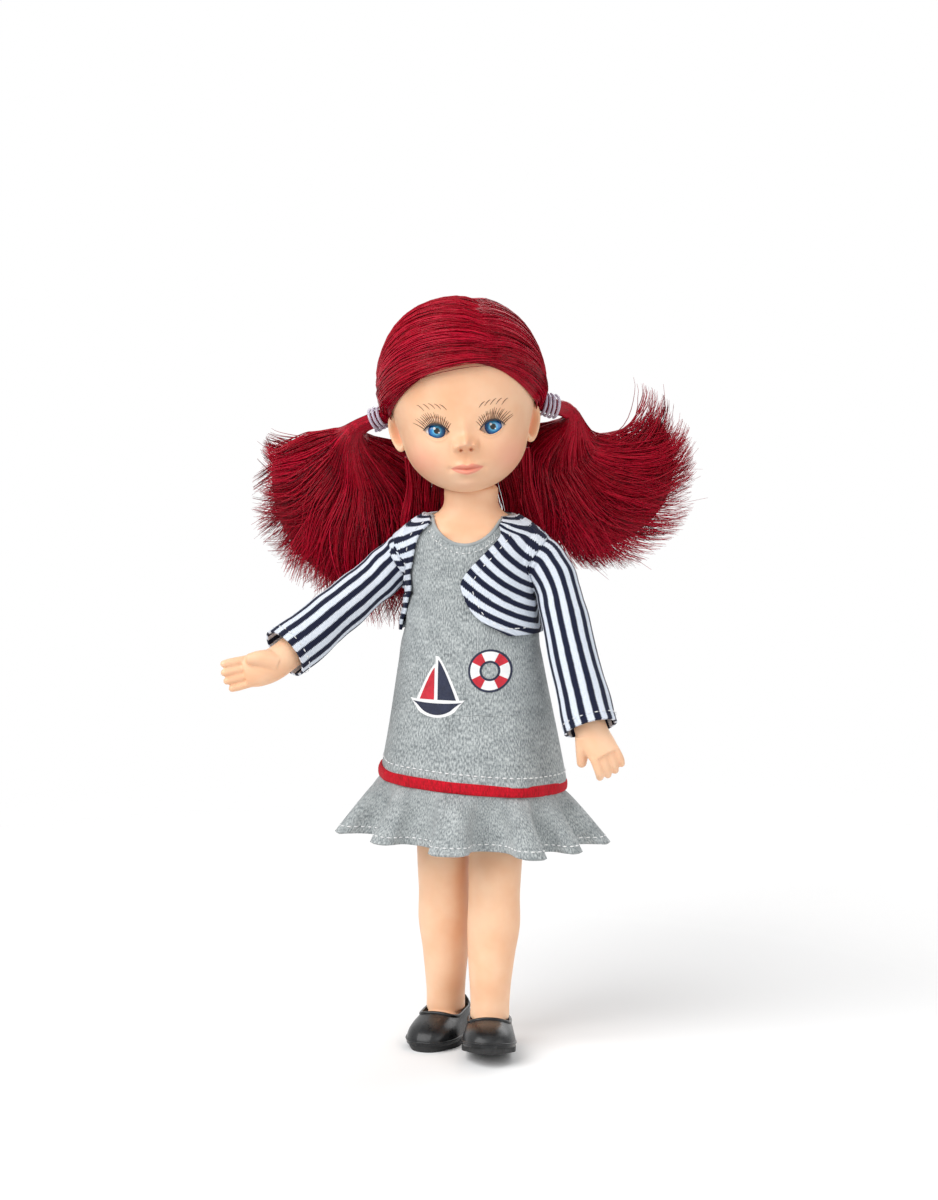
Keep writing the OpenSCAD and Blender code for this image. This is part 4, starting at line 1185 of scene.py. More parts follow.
    def ear(self, side: Side) -> Surface:
        """Makes one ear: a rolled rim round a bowl.

        Args:
            side: The ear's side.

        Returns:
            The ear's grid.
        """
        r = np.linspace(0.0, 1.0, 30)[:, None]
        t = around(60)[None, :]
        places = [0, 0.2, 0.34, 0.42, 0.5, 0.58, 0.66, 0.74, 0.82, 0.92, 1.0]
        wide = np.interp(r, places, [0.0, 0.3, 0.5, 0.6, 0.67, 0.76, 0.88, 0.98, 1.0, 0.9, 0.62])
        high = np.interp(r, places, [-1.5, -1.6, -1.35, -0.7, 0.15, 0.75, 0.95, 0.7, 0.0, -1.4, -3.6])
        along = self.ear_height * 0.44 * wide * np.sin(t)
        across = 3.3 * wide * np.cos(t) * (1 + 0.25 * np.sin(t))
        high = high - 0.5 * bell((t - math.pi) / 0.7) * smooth(r / 0.5)
        high = high + 0.5 * bell((r - 0.3) / 0.1) * bell((t - 1.0) / 0.6)
        z0 = self.eye_z - 0.3
        base = np.array([side.value * (float(self.wide(np.array(z0))) + 0.4 - self.ear_inset), 1.2, z0])
        out = unit(np.array([side.value * 0.74, -0.67, 0.05]))
        up = unit(np.array([side.value * 0.1, 0.16, 1.0]))
        back = np.cross(up, out) * side.value
        p = base + along[..., None] * up + across[..., None] * back + high[..., None] * out
        # Blush with painted shade in the ear's bowl.
        bowl_flush_and_shade = 0.85 * smooth((0.5 - r) / 0.2) * np.ones_like(t)
        return Surface(STANCE.place_head(p), wrap=True, caps=(False, True), marks={"blush": bowl_flush_and_shade})

    def eye(self, side: Side, shop: Workshop) -> Thing:
        """Makes one eye as a dome round its line of sight."""
        polar = np.radians(np.linspace(0.5, 112, 60))[:, None]
        t = around(72)[None, :]
        dome = 1 + 0.035 * bell(polar / 0.62)
        local = stack(np.sin(polar) * np.cos(t), -np.cos(polar), np.sin(polar) * np.sin(t))
        centre = np.array([side.value * self.eye_offset, -self.eye_front, self.eye_z])
        p = centre + local * self.eye_radius * dome[..., None]
        uv = np.stack([p[..., 0] - centre[0] - 0.18, p[..., 2] - centre[2] - 0.1], axis=-1)
        uv = np.concatenate([uv, uv[:, :1]], axis=1)
        skin = Surface(STANCE.place_head(p), wrap=True, uv=uv, caps=(True, True))
        return mesh_piece(f"{side.word}_glass_eye", [skin], [shop.finishes.eye])

    def lashes(self, side: Side, rng: np.random.Generator) -> Iterator[tuple]:
        """Gives the line, the widths and the tint of each lash of one eye."""
        t = np.linspace(0, 1, 9)
        for s in np.arange(self.lash_count) / (self.lash_count - 1):
            root = mix(-self.lid_half + 0.35, self.lid_half - 0.2, s)
            lean = mix(-0.55, 0.85, s) + rng.uniform(-0.09, 0.09)
            long = mix(2.1, 3.3, smooth(s / 0.6)) + rng.uniform(-0.3, 0.3)
            e = root + long * (np.sin(lean) * t + 0.22 * (s - 0.3) * t * t)
            d = self.lid_line(root, True) + 0.3 + long * np.cos(lean) * (t - 0.1 * t * t)
            width = np.clip(1.15 - t, 0.12, 1) ** 0.7
            yield self.on_face(side, e, d, self.paint_lift), width, rng.uniform(0, 1)

    def brow(self, side: Side, rng: np.random.Generator) -> Iterator[tuple]:
        """Gives the line, the widths and the tint of each stroke of one brow."""
        t = np.linspace(0, 1, 9)
        for s in np.arange(self.brow_count) / (self.brow_count - 1):
            long = 2.9 - 0.5 * abs(s - 0.4) + rng.uniform(-0.3, 0.3)
            e = mix(-3.3, 2.9, s) + long * 0.66 * t
            d = 5.4 + 0.75 * math.sin(math.pi * (0.1 + 0.72 * s)) + long * (0.98 * t - 0.38 * t * t)
            width = 0.72 * np.sin(np.pi * np.clip(t, 0.08, 0.92)) ** 0.5
            yield self.on_face(side, e, d, self.paint_lift), width, rng.uniform(0, 1)

    def paint_lines(self, shop: Workshop) -> None:
        """Paints the lid lines, the lashes and the brows on the face."""
        rng = np.random.default_rng(SEED)
        strokes, rims, lows = [], [], []
        for side in Side:
            e = np.linspace(-self.lid_half - 0.05, self.lid_half - 0.15, 40)
            rims.append(self.on_face(side, e, self.lid_line(e, True) + 0.02, 0.1))
            lows.append(self.on_face(side, e, self.lid_line(e, False) - 0.03, 0.1))
            strokes += [*self.lashes(side, rng), *self.brow(side, rng)]
        lines, widths, tints = map(np.array, zip(*strokes))
        lash = shop.tubes.run("painted_lashes", lines, 0.15, shop.finishes.lash, 5, widths, tints)
        ride(lash, "head", "skin_vinyl")
        ends = np.sin(np.linspace(0.12, np.pi - 0.12, 40)) ** 0.45
        upper = shop.tubes.run("upper_lid_lines", np.array(rims), 0.3, shop.finishes.lid, 8, ends)
        ride(upper, "head", "skin_vinyl")
        lower = shop.tubes.run("lower_lid_edges", np.array(lows), 0.16, shop.finishes.skin, 8, ends)
        ride(lower, "head", "skin_vinyl")

    def on_face(self, side: Side, e: Array, d: Array, lift: float) -> Array:
        """Lays a line on the face.

        Args:
            side: Side of the face.
            e: Distances outward from the middle of the eye.
            d: Heights above the middle of the eye.
            lift: Height above the skin.

        Returns:
            Points of the line in place.
        """
        x = side.value * (self.eye_offset + e)
        z = self.eye_z + d
        return STANCE.place_head(np.stack([x, self.face_y(x, z) - lift, z], axis=-1))


@dataclass
class Torso:
    """The moulded torso with its neck, in millimetres."""

    crotch_z: float = 74.0
    neck_radius: float = 7.5
    ball_radius: float = 10.0
    arm_socket: float = 7.2
    squareness: float = 0.92
    briefs_gap: float = 0.45
    briefs_out: float = 0.65

    def __post_init__(self) -> None:
        """Works out the table of cross-sections."""
        hip, shoulder, neck, crotch = STANCE.hip_z, STANCE.shoulder_z, STANCE.neck_z, self.crotch_z
        waist = mix(hip, shoulder, 0.46)
        chest = shoulder - 11
        self.stations = Stations([
            [crotch, 3, 5, 0.5], [crotch + 3, 9, 9, 0.5], [hip - 4, 15, 11.8, 0.5], [hip + 3, 17, 12.4, 0.5],
            [mix(hip, waist, 0.6), 16.2, 12, 0], [waist, 15.4, 11.4, -0.5], [chest - 8, 15.4, 11, -0.5],
            [chest, 16, 10.7, -0.2], [shoulder - 4, 17.2, 10.4, 0.2], [shoulder + 2, 18.8, 9.6, 0.4],
            [shoulder + 6, 18.2, 8.8, 0.4], [neck - 2.6, 13.8, 8.4, 0.3], [neck - 0.4, 9.7, 7.9, 0.1],
            [neck + 2, 7.7, 7.5, 0], [neck + 6.6, 7.5, 7.5, 0]])

    def ring(self, a: Array, z: Array, grow: float = 0.0) -> Array:
        """Gives points round the torso at angles and heights."""
        w = self.stations.read(z, 1) + grow
        d = self.stations.read(z, 2) + grow
        y = self.stations.read(z, 3) + d * power(np.sin(a), self.squareness)
        return stack(w * power(np.cos(a), self.squareness), y, z)

    def cut_joints(self, p: Array, gap: float = 0.0) -> Array:
        """Flattens points that lie beyond the hip faces and inside the arm sockets."""
        for side in Side:
            axis = STANCE.hip_axis(side)
            over = (p - STANCE.hip(side)) @ axis + gap
            p = p - np.clip(over, 0, None)[..., None] * axis
            axis = STANCE.shoulder_axis(side)
            along, off = split_along(p - STANCE.shoulder(side), axis)
            inside = (np.linalg.norm(off, axis=-1) < self.arm_socket) & (along > 0)
            p = np.where(inside[..., None], p - along[..., None] * axis, p)
        return p

    def build(self, shop: Workshop) -> None:
        """Makes the torso."""
        a = around(144)
        foot = math.sqrt(self.ball_radius ** 2 - self.neck_radius ** 2)
        z = np.linspace(self.crotch_z, STANCE.neck_z + foot - 1.4, 150)
        aa, zz = np.meshgrid(a, z)
        p = self.ring(aa, zz)
        bone = 0.5 * bell((np.abs(p[..., 0]) - 9 + 0.4 * (zz - 145)) / 5) * bell((zz - 144.5) / 1.3)
        p[..., 1] -= bone * (np.sin(aa) < 0)
        p = self.cut_joints(p)
        cap = np.linspace(foot, self.ball_radius, 14)[:-1]
        r = np.sqrt(self.ball_radius ** 2 - cap ** 2)[:, None]
        ball = stack(r * np.cos(a), r * np.sin(a), (STANCE.neck_z + cap)[:, None])
        skin = Surface(STANCE.place(np.concatenate([p, ball])), wrap=True, caps=(True, True))
        ride(mesh_piece("moulded_torso", [skin], [shop.finishes.skin]), "body", "skin_vinyl", "torso")
        self.briefs(shop)

    def briefs(self, shop: Workshop) -> None:
        """Makes the cotton briefs with their elastic edge."""
        a = around(144)
        z = np.linspace(self.crotch_z, STANCE.hip_z + 12, 60)
        aa, zz = np.meshgrid(a, z)
        p = self.ring(aa, zz, self.briefs_gap + self.briefs_out)
        p[..., 2] -= 1.1 * smooth((self.crotch_z + 3 - zz) / 3)
        p[..., 0] += 0.12 * np.sin(9 * aa) * bell((zz - 90) / 6)
        over = np.stack([(p - STANCE.hip(s)) @ STANCE.hip_axis(s) for s in Side]).max(axis=0)
        keep = (over[:-1] + over[1:]) / 2 < -0.3
        uv = stack(np.linspace(0, 100, 145)[None, :], z[:, None])
        skin = Surface(STANCE.place(self.cut_joints(p, 0.3)), wrap=True, uv=uv, keep=keep)
        cloth = mesh_piece("cotton_briefs", [skin], [shop.finishes.cotton])
        thicken(cloth, 0.6)
        ride(cloth, "body", "white_cotton", "briefs")
        declare_cloth(cloth, (112, 27), "stretched", "torso")
        top = STANCE.place(self.ring(a, np.full_like(a, STANCE.hip_z + 11.6), 1.15))
        cord = shop.tubes.run("briefs_elastic", top[None], 0.5, shop.finishes.cotton, 8, closed=True)
        ride(cord, "body", "white_cotton")


def declare_cloth(obj: Thing, flat: tuple, held: str, *under: str) -> None:
    """Logs a cloth piece's area beside the area of its flat cut.

    Args:
        obj: The piece, thickened.
        flat: Width and length of the cut in millimetres.
        held: Not used.
        under: Not used.
    """
    area = sum(p.area for p in obj.data.polygons) / 2
    LOG.info("%s: %.0f mm2 of a cut of %.0f", obj.name, area * 1e6, flat[0] * flat[1])


@dataclass(frozen=True)
class HandPose:
    """How a hand is moulded: the thumb's points are shares of the palm's length along the hand,
    toward the thumb's side and toward the palm's face, each with its radius in millimetres."""

    palm_faces: tuple
    droop: float
    curl: float
    thumb: tuple


OPEN_HAND = HandPose((0.2, -0.97, 0.1), 0.0, 16.0, (
    (-1.0, 0.1, 0.04, 3.4), (-0.76, 0.25, 0.17, 2.9), (-0.52, 0.35, 0.27, 2.15), (-0.32, 0.39, 0.31, 1.65)))
HANGING_HAND = HandPose((-0.1, 0.74, -0.64), 0.5, 46.0, (
    (-0.9, 0.3, 0.0, 2.6), (-0.7, 0.45, 0.14, 2.1), (-0.5, 0.58, 0.34, 1.7), (-0.35, 0.67, 0.52, 1.4)))


@dataclass
class Arm:
    """One moulded arm with its hand, in millimetres and degrees."""

    side: Side
    swing: float
    sleeve_length: float
    hand: HandPose
    bend: float = 7.5
    cone: float = 43.5
    hand_cone: float = 26.0
    hand_twist: float = 60.0
    length: float = 47.0
    palm: float = 8.4
    finger: float = 6.0
    finger_radius: float = 1.25
    upper: float = 4.9
    wrist: float = 4.4
    face: float = 5.4

    def spoke(self, swing: float) -> Array:
        """Gives the direction square to the shoulder axis at a swing."""
        c = math.radians(STANCE.shoulder_cant)
        s = math.radians(swing)
        hang = np.array([-self.side.value * math.sin(c), 0, -math.cos(c)])
        return math.cos(s) * hang + math.sin(s) * np.array([0, -1, 0])

    def off_axis(self, cone: float, swing: float) -> Array:
        """Gives the direction at an angle from the shoulder axis and at a swing."""
        c = math.radians(cone)
        return math.cos(c) * STANCE.shoulder_axis(self.side) + math.sin(c) * self.spoke(swing)

    @property
    def arm_line(self) -> Array:
        """Gives the direction of the arm."""
        return self.off_axis(self.cone, self.swing)

    @property
    def hand_line(self) -> Array:
        """Gives the direction of the hand."""
        level = self.off_axis(self.hand_cone, self.swing + self.hand_twist)
        return unit(level - self.hand.droop * np.array([0, 0, 1.0]))

    @property
    def palm_line(self) -> Array:
        """Gives the direction that the palm faces."""
        h, f = self.hand_line, np.array(self.hand.palm_faces)
        return unit(f - (f @ h) * h)

    @property
    def thumb_line(self) -> Array:
        """Gives the direction from the hand's middle to the thumb's side."""
        return self.side.value * unit(np.cross(self.palm_line, self.hand_line))

    def elbow_path(self) -> Path:
        """Gives the middle line of the arm."""
        a, v, h = STANCE.shoulder_axis(self.side), self.arm_line, self.hand_line
        s = STANCE.shoulder(self.side)
        b = s + self.bend * a
        end = b + self.length * v
        return Path([s + 0.2 * a, s + 0.62 * self.bend * a, b + 6 * v, b + 18 * v, b + (self.length - 14) * v,
                     b + (self.length - 4) * v, end + 2 * h, end + self.palm * h])

    def rings(self, path: Path, u: Array, wide: Array, deep: Array, sides: int) -> Array:
        """Lofts rings along a path.

        Args:
            path: The middle line.
            u: Places along it.
            wide: Half size toward the thumb at each place and side.
            deep: Half size across that.
            sides: Points in a ring.

        Returns:
            A grid of points.
        """
        d = path.heading(u)
        t = self.thumb_line
        e = unit(t - (d @ t)[:, None] * d)
        g = np.cross(d, e)
        k = around(sides)
        right = (wide.reshape(len(u), -1) * np.cos(k))[..., None] * e[:, None]
        front = (deep.reshape(len(u), -1) * np.sin(k))[..., None] * g[:, None]
        return path.at(u)[:, None] + right + front

    def digit(self, points: Sequence[Array], radii: Sequence[float]) -> Surface:
        """Makes a finger as a round-ended tube through points."""
        path = Path(points)
        last = len(points) - 1
        body = np.linspace(0, last, 14)
        size = np.interp(body, range(len(radii)), radii)
        grid = self.rings(path, body, size, size, 16)
        tip, way, r = path.at(body[-1:])[0], path.heading(body[-1:])[0], radii[-1]
        turns = np.linspace(0.25, 1.5, 6)
        ends = [tip + (grid[-1] - tip) * math.cos(q) + way * r * math.sin(q) for q in turns]
        return Surface(np.concatenate([grid, np.array(ends)]), wrap=True, caps=(True, True))

    def build(self, shop: Workshop) -> None:
        """Makes the arm and melts the fingers into the palm."""
        path = self.elbow_path()
        h, t, n, w, up = self.hand_line, self.thumb_line, self.palm_line, self.wrist, self.upper
        face = self.face
        table = Stations([
            [0, face, face], [0.6, face + 0.2, face + 0.2], [1, face, face], [1.5, up + 0.3, up + 0.3],
            [2, up + 0.1, up + 0.1], [3, up - 0.1, up - 0.1], [4, mix(up, w, 0.4), mix(up, w, 0.4)],
            [4.5, mix(up, w, 0.75), mix(up, w, 0.8)], [5, w, w - 0.2], [5.5, w + 0.1, w - 0.7],
            [6, w + 0.2, w - 1.2], [6.5, w + 0.25, w - 1.7], [7, w - 0.2, w - 2.4]])
        u = np.concatenate([np.linspace(0, 4.6, 60), np.linspace(4.6, 7, 40)[1:]])
        limb = self.rings(path, u, table.read(u, 1), table.read(u, 2), 40)
        skins = [Surface(limb, wrap=True, caps=(True, True))]
        end = path.points[-1]
        bent = math.radians(self.hand.curl)
        spread = 2.4 * self.finger_radius * 0.72
        for i, share in enumerate((0.8, 0.96, 1.0, 0.92)):
            reach = self.finger * share + 0.6
            knuckle = end + (i - 1.5) * spread * t - 0.5 * h
            first = unit(math.cos(0.7 * bent) * h + math.sin(0.7 * bent) * n + (i - 1.5) * 0.05 * t)
            second = unit(math.cos(1.4 * bent) * h + math.sin(1.4 * bent) * n + (i - 1.5) * 0.02 * t)
            joint = knuckle + 0.55 * reach * first
            r = self.finger_radius * (0.92 if i == 0 else 1.0)
            points = [knuckle - 2.6 * h, knuckle, joint, joint + 0.36 * reach * second]
            skins.append(self.digit(points, [r * 1.05, r * 1.05, r * 0.98, r * 0.84]))
        thumb = [end + self.palm * (along * h + across * t + front * n)
                 for along, across, front, _ in self.hand.thumb]
        skins.append(self.digit(thumb, [r for *_, r in self.hand.thumb]))
        for s in skins:
            s.points = STANCE.place(s.points)
        arm = mesh_piece(f"moulded_{self.side.word}_arm", skins, [shop.finishes.skin])
        melt(arm, 0.26, 5)
        ride(arm, f"{self.side.word}_arm", "skin_vinyl", f"{self.side.word}_arm")


def melt(obj: Thing, voxel: float, passes: int) -> None:
    """Joins the overlapping solids of a piece into one soft skin.

    Args:
        obj: The piece.
        voxel: Size of the steps in millimetres.
        passes: Rounds of smoothing.
    """
    join = obj.modifiers.new("join", "REMESH")
    join.mode = "VOXEL"
    join.voxel_size = voxel * MM
    join.use_smooth_shade = True
    soften = obj.modifiers.new("soften", "SMOOTH")
    soften.factor = 0.5
    soften.iterations = passes
    settle(obj)


@dataclass
class Leg:
    """One moulded leg with its foot, in millimetres."""

    side: Side
    x: float = 8.5
    gap: float = 0.4
    thigh: float = 7.7
    calf: float = 7.4
    ankle: float = 5.5
    hip_face: float = 9.0

    def build(self, shop: Workshop, shoe: "Shoe") -> None:
        """Makes the leg and melts the foot into it.

        Args:
            shop: Tools and finishes.
            shoe: The shoe that the foot fills.
        """
        v, top = self.side.value, STANCE.hip_z - 16
        knee, calf_z = STANCE.hip_z - 30, STANCE.hip_z - 52
        hip, axis = STANCE.hip(self.side), STANCE.hip_axis(self.side)
        t = np.linspace(0, 1, 24)[:, None]
        q = 1 - t
        line = q * q * (hip + 0.2 * axis) + 2 * t * q * np.array([v * (self.x + 2), 0, STANCE.hip_z - 7.5])
        line = line + t * t * np.array([v * self.x, 0, top])
        slope = np.radians((90 - STANCE.hip_cant) * (1 - t[:, 0] ** 2))
        radius = mix(self.hip_face, self.thigh, t[:, 0]) + 0.4 * (t * q)[:, 0]
        z = np.linspace(top, 8.0, 90)[1:]
        sizes = Stations([
            [8, self.ankle, 0], [13, self.ankle, 0], [18, self.ankle + 0.35, -0.2],
            [25, mix(self.ankle, self.calf, 0.55), 0.1], [calf_z, self.calf, 0.35],
            [calf_z + 8, self.calf - 0.15, 0.1], [calf_z + 14, self.calf, -0.25],
            [knee, self.thigh - 0.1, 0], [top, self.thigh, 0]])
        across = Stations([
            [8, shoe.foot_x], [25, shoe.foot_x + 0.02], [calf_z, self.calf + self.gap],
            [calf_z + 10, self.calf + self.gap], [knee, self.thigh + self.gap - 0.1], [top, self.x]])
        low = np.stack([v * across.read(z, 1), sizes.read(z, 2), z], axis=1)
        line = np.concatenate([line, low])
        slope = np.concatenate([slope, np.zeros_like(z)])
        radius = np.concatenate([radius, sizes.read(z, 1)])
        a = around(48)
        wide = np.stack([v * np.cos(slope), 0 * slope, np.sin(slope)], axis=1)
        ring = np.cos(a)[:, None] * wide[:, None] + np.sin(a)[:, None] * np.array([0, 1.0, 0])
        p = line[:, None] + radius[:, None, None] * ring
        foot = shoe.in_shoe(shoe.rings(shoe.steps[2:-2], -1.25), self.side)
        skins = [Surface(STANCE.place_leg(q, self.side), wrap=True, caps=(True, True)) for q in (p, foot)]
        leg = mesh_piece(f"moulded_{self.side.word}_leg", skins, [shop.finishes.skin])
        melt(leg, 0.42, 8)
        ride(leg, f"{self.side.word}_leg", "skin_vinyl", f"{self.side.word}_leg")


@dataclass
class Shoe:
    """One moulded ballet flat, in millimetres."""

    side: Side
    foot_x: float = 7.367
    toe_out: float = 6.0
    half_width: float = 7.4
    toe: float = 20.0
    heel: float = 6.6
    heel_height: float = 11.4
    sole: float = 1.6
    opening: float = 5.9
    throat: float = 2.8

    def __post_init__(self) -> None:
        """Works out the table of cross-sections."""
        w, h, t, end = self.half_width, self.heel_height, self.toe, self.heel
        self.stations = Stations([
            [-t, 2, 3.6], [1.5 - t, 4.6, 5.2], [4.5 - t, w - 0.9, 6.8], [9 - t, w, 8], [-5, w - 0.2, h - 2],
            [1, w - 0.5, h - 0.8], [end - 2, w - 1.1, h], [end + 0.6, w - 2.4, h],
            [end + 1.6, w - 4.6, h - 0.6]])
        self.steps = np.concatenate([[-t, 0.4 - t, 0.9 - t], np.linspace(1.5 - t, end - 0.6, 34),
                                     [end, end + 0.6, end + 1.2, end + 1.6]])

    def rings(self, y: Array, grow: float) -> Array:
        """Gives cross-sections of the shoe, flat below and domed above."""
        w = np.maximum(0.8, self.stations.read(y, 1) + grow)[:, None]
        top = np.maximum(self.sole + 1.4, self.stations.read(y, 2) + grow)[:, None]
        low = self.sole - min(grow, 0)
        a = around(40)[None, :]
        z = np.where(np.sin(a) > 0, low + (top - low) * np.abs(np.sin(a)) ** 0.8, low)
        return stack(w * power(np.cos(a), 0.8), y[:, None], z)

    def in_shoe(self, p: Array, side: Side) -> Array:
        """Turns the toes out and moves points under the leg."""
        turned = turn(p, (0, 0, 1), side.value * self.toe_out, (0, 0, 0))
        return turned + np.array([side.value * self.foot_x, 0, 0])

    def place(self, p: Array) -> Array:
        """Moves points of the shoe to its place on the leg."""
        return STANCE.place_leg(self.in_shoe(p, self.side), self.side)

    def height(self, x: Array, y: Array) -> Array:
        """Gives the height of the upper over a place on the sole."""
        w = self.stations.read(y, 1)
        top = self.stations.read(y, 2)
        return self.sole + (top - self.sole) * np.clip(1 - (np.abs(x) / w) ** 2.5, 0, None) ** 0.4

    def build(self, shop: Workshop) -> None:
        """Makes the upper with its rolled top edge."""
        front = self.toe * -np.cos(np.linspace(0, np.pi / 2, 30))
        y = np.concatenate([front, np.linspace(0, self.heel + 1.6, 16)[1:]])
        right = np.stack([self.stations.read(y, 1), y], axis=1)
        outline = np.concatenate([right, right[::-1] * (-1, 1)])
        heart = np.array([0.0, -1.5])
        way = np.arctan2(outline[:, 1] - heart[1], outline[:, 0] - heart[0])
        half = self.opening
        front, back = -self.throat - half, self.heel + 0.4
        mid, deep = (front + back) / 2, (back - front) / 2
        c, s = np.cos(way), np.sin(way)
        q = 4.0
        r = (np.abs(c / (half - 0.2)) ** q + np.abs(s / deep) ** q) ** (-1 / q)
        top = np.stack([r * c, mid + r * s], axis=1)
        rows = []
        for share in np.concatenate([[0, 0.004, 0.015, 0.04], np.linspace(0.09, 1, 14)]):
            flat = outline * (1 - share) + top * share
            z = np.maximum(self.height(flat[:, 0], flat[:, 1]) if share else 0, self.sole)
            rows.append(np.column_stack([flat, np.broadcast_to(z, len(flat))]))
        grid = np.array(rows)
        word = self.side.word
        upper = mesh_piece(f"{word}_flat_upper", [Surface(self.place(grid), wrap=True)], [shop.finishes.shoe])
        thicken(upper, 0.75)
        ride(upper, f"{word}_leg", "shoe_black", f"{word}_shoe_upper")
        for name, row, lift, radius, sides in (("edge", -1, -0.05, 0.55, 10), ("welt", 1, 0.25, 0.32, 8)):
            line = self.place(grid[row] + np.array([0, 0, lift]))[None]
            roll = shop.tubes.run(f"{word}_flat_{name}", line, radius, shop.finishes.shoe, sides, closed=True)
            ride(roll, f"{word}_leg", "shoe_black")
        paint_node(f"{word}_shoe_sole", shop.finishes.sole)


def paint_node(name: str, material: Paint) -> None:
    """Gives a carried-over solid its finish."""
    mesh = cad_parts[name].data
    mesh.materials.clear()
    mesh.materials.append(material)
    LOG.info("%s keeps its solid", name)


@dataclass
class Dress:
    """The jersey tunic with its piping and ruffle, in millimetres and degrees."""

    torso: Torso
    bust_width: float = 16.8
    bust_depth: float = 11.8
    hem_width: float = 26.0
    hem_depth: float = 20.6
    hem_z: float = 76.5
    hem_lean: float = 4.0
    thick: float = 0.7
    gap: float = 0.4
    piping: float = 1.3
    sway: SkirtSway = SkirtSway()
    ruffle_drop: float = 15.0
    ruffle_flare: float = 6.5
    folds: int = 11
    fold_depth: float = 2.3
    neckline: float = 10.8
    armhole: float = 8.2
    armhole_reach: float = 4.0
    neck_rise: float = 14.0
    neck_front: float = 10.4
    neck_lift: float = 2.6
    snap_reach: float = 1.2
    stitch_lift: float = 0.06
    top_z: float = 149.4
    print_rows: int = 8
    boat: tuple = (-6.6, 98.0)
    buoy: tuple = (8.4, 107.5)

    @property
    def neck_axis(self) -> Array:
        """Gives the direction of the neckline's cut."""
        rise = math.radians(self.neck_rise)
        return np.array([0, math.cos(rise), math.sin(rise)])

    @property
    def neck_middle(self) -> Array:
        """Gives a point on the middle line of the neckline's cut."""
        return np.array([0, -self.neck_front, STANCE.neck_z + self.neck_lift])

    def drape(self, z: Array, top: float, hem: float) -> Array:
        """Gives the half size of the hanging tunic, which widens to its hem."""
        chest = STANCE.shoulder_z - 11
        down = np.clip((chest - z) / (chest - self.hem_z + 3), 0, None)
        return np.where(z > chest, 0, mix(top, hem, down ** 1.12))

    def half_sizes(self, z: Array, grow: Array) -> tuple:
        """Gives half the width and half the depth of the tunic's inner face, moved out by grow."""
        sizes = []
        for column, top, hem in ((1, self.bust_width, self.hem_width), (2, self.bust_depth, self.hem_depth)):
            close = self.torso.stations.read(z, column) + self.gap
            sizes.append(np.maximum(close, self.drape(z, top, hem)) + grow)
        return tuple(sizes)

    def point(self, a: Array, z: Array, grow: Array) -> Array:
        """Gives points of the tunic's inner face at angles and heights, moved out by grow."""
        w, d = self.half_sizes(z, grow)
        p = self.torso.squareness
        return stack(w * power(np.cos(a), p), self.torso.stations.read(z, 3) + d * power(np.sin(a), p), z)

    def face_point(self, a: Array, z: Array, lift: float = 0.0) -> Array:
        """Gives points of the tunic's outer face with its folds, moved out by lift."""
        return self.point(a, z, self.thick + self.folds_at(a, z) + lift)

    def front_y(self, x: Array, z: Array, grow: float) -> Array:
        """Gives the front of the tunic at places across and up it."""
        w, d = self.half_sizes(z, grow)
        c = np.clip(np.abs(x) / w, 0, 1) ** (2 / self.torso.squareness)
        return self.torso.stations.read(z, 3) - d * np.sqrt(np.clip(1 - c, 0, None)) ** self.torso.squareness

    def holds(self, p: Array, grow: float) -> Array:
        """Tells which points lie inside the tunic, grown by a distance."""
        w, d = self.half_sizes(p[..., 2], grow)
        y = p[..., 1] - self.torso.stations.read(p[..., 2], 3)
        q = 2 / self.torso.squareness
        return (np.abs(p[..., 0]) / w) ** q + (np.abs(y) / d) ** q < 1

    def hem_level(self, a: Array) -> Array:
        """Gives the height of the leaning hem."""
        return self.hem_z - math.tan(math.radians(self.hem_lean)) * self.hem_width * np.cos(a)

    def from_neck(self, p: Array) -> Array:
        """Gives the distance of points from the middle line of the neckline's cut."""
        return np.linalg.norm(split_along(p - self.neck_middle, self.neck_axis)[1], axis=-1)

    def from_armhole(self, p: Array) -> Array:
        """Gives the distance of points from the nearer shoulder axis."""
        away = []
        for side in Side:
            axis = STANCE.shoulder_axis(side)
            along, flat = split_along(p - STANCE.shoulder(side) + self.armhole_reach * axis, axis)
            away.append(np.where(along > 0, np.linalg.norm(flat, axis=-1), math.inf))
        return np.minimum(*away)

    def snap(self, p: Array, keep: Array, neck: float, arm: float) -> Array:
        """Moves the points along a cut edge onto the cut.

        Args:
            p: Grid of points.
            keep: Which faces stay.
            neck: Radius of the neckline.
            arm: Radius of the armholes.

        Returns:
            The grid with a clean edge.
        """
        rows, cols = p.shape[:2]
        used = np.zeros((rows, cols), int)
        total = np.zeros((rows, cols), int)
        nxt = (np.arange(keep.shape[1]) + 1) % cols
        for dr in (0, 1):
            for c in (np.arange(keep.shape[1]), nxt):
                np.add.at(used, (slice(dr, dr + rows - 1), c), keep.astype(int))
                np.add.at(total, (slice(dr, dr + rows - 1), c), 1)
        edge = (used > 0) & (used < total)
        cuts = [(self.neck_middle, self.neck_axis, neck, -math.inf)]
        for side in Side:
            cuts.append((STANCE.shoulder(side), STANCE.shoulder_axis(side), arm, -self.armhole_reach))
        for middle, axis, radius, start in cuts:
            along, flat = split_along(p - middle, axis)
            r = np.linalg.norm(flat, axis=-1)
            near = edge & (np.abs(r - radius) < self.snap_reach) & (along > start)
            p = np.where(near[..., None], p + flat * ((radius - r) / r)[..., None], p)
        return p

    def folds_at(self, a: Array, z: Array) -> Array:
        """Gives the tunic's own soft folds, which grow toward the hem."""
        low = smooth((112 - z) / 34)
        wave = 0.55 * np.sin(5 * a + 0.6) + 0.35 * np.sin(8 * a + 2.0)
        drag = 0.35 * np.sin(0.55 * (z + 9 * np.cos(a)) + 1.3) * bell((z - 122) / 9) * np.abs(np.cos(a))
        return 0.75 * wave * low + drag

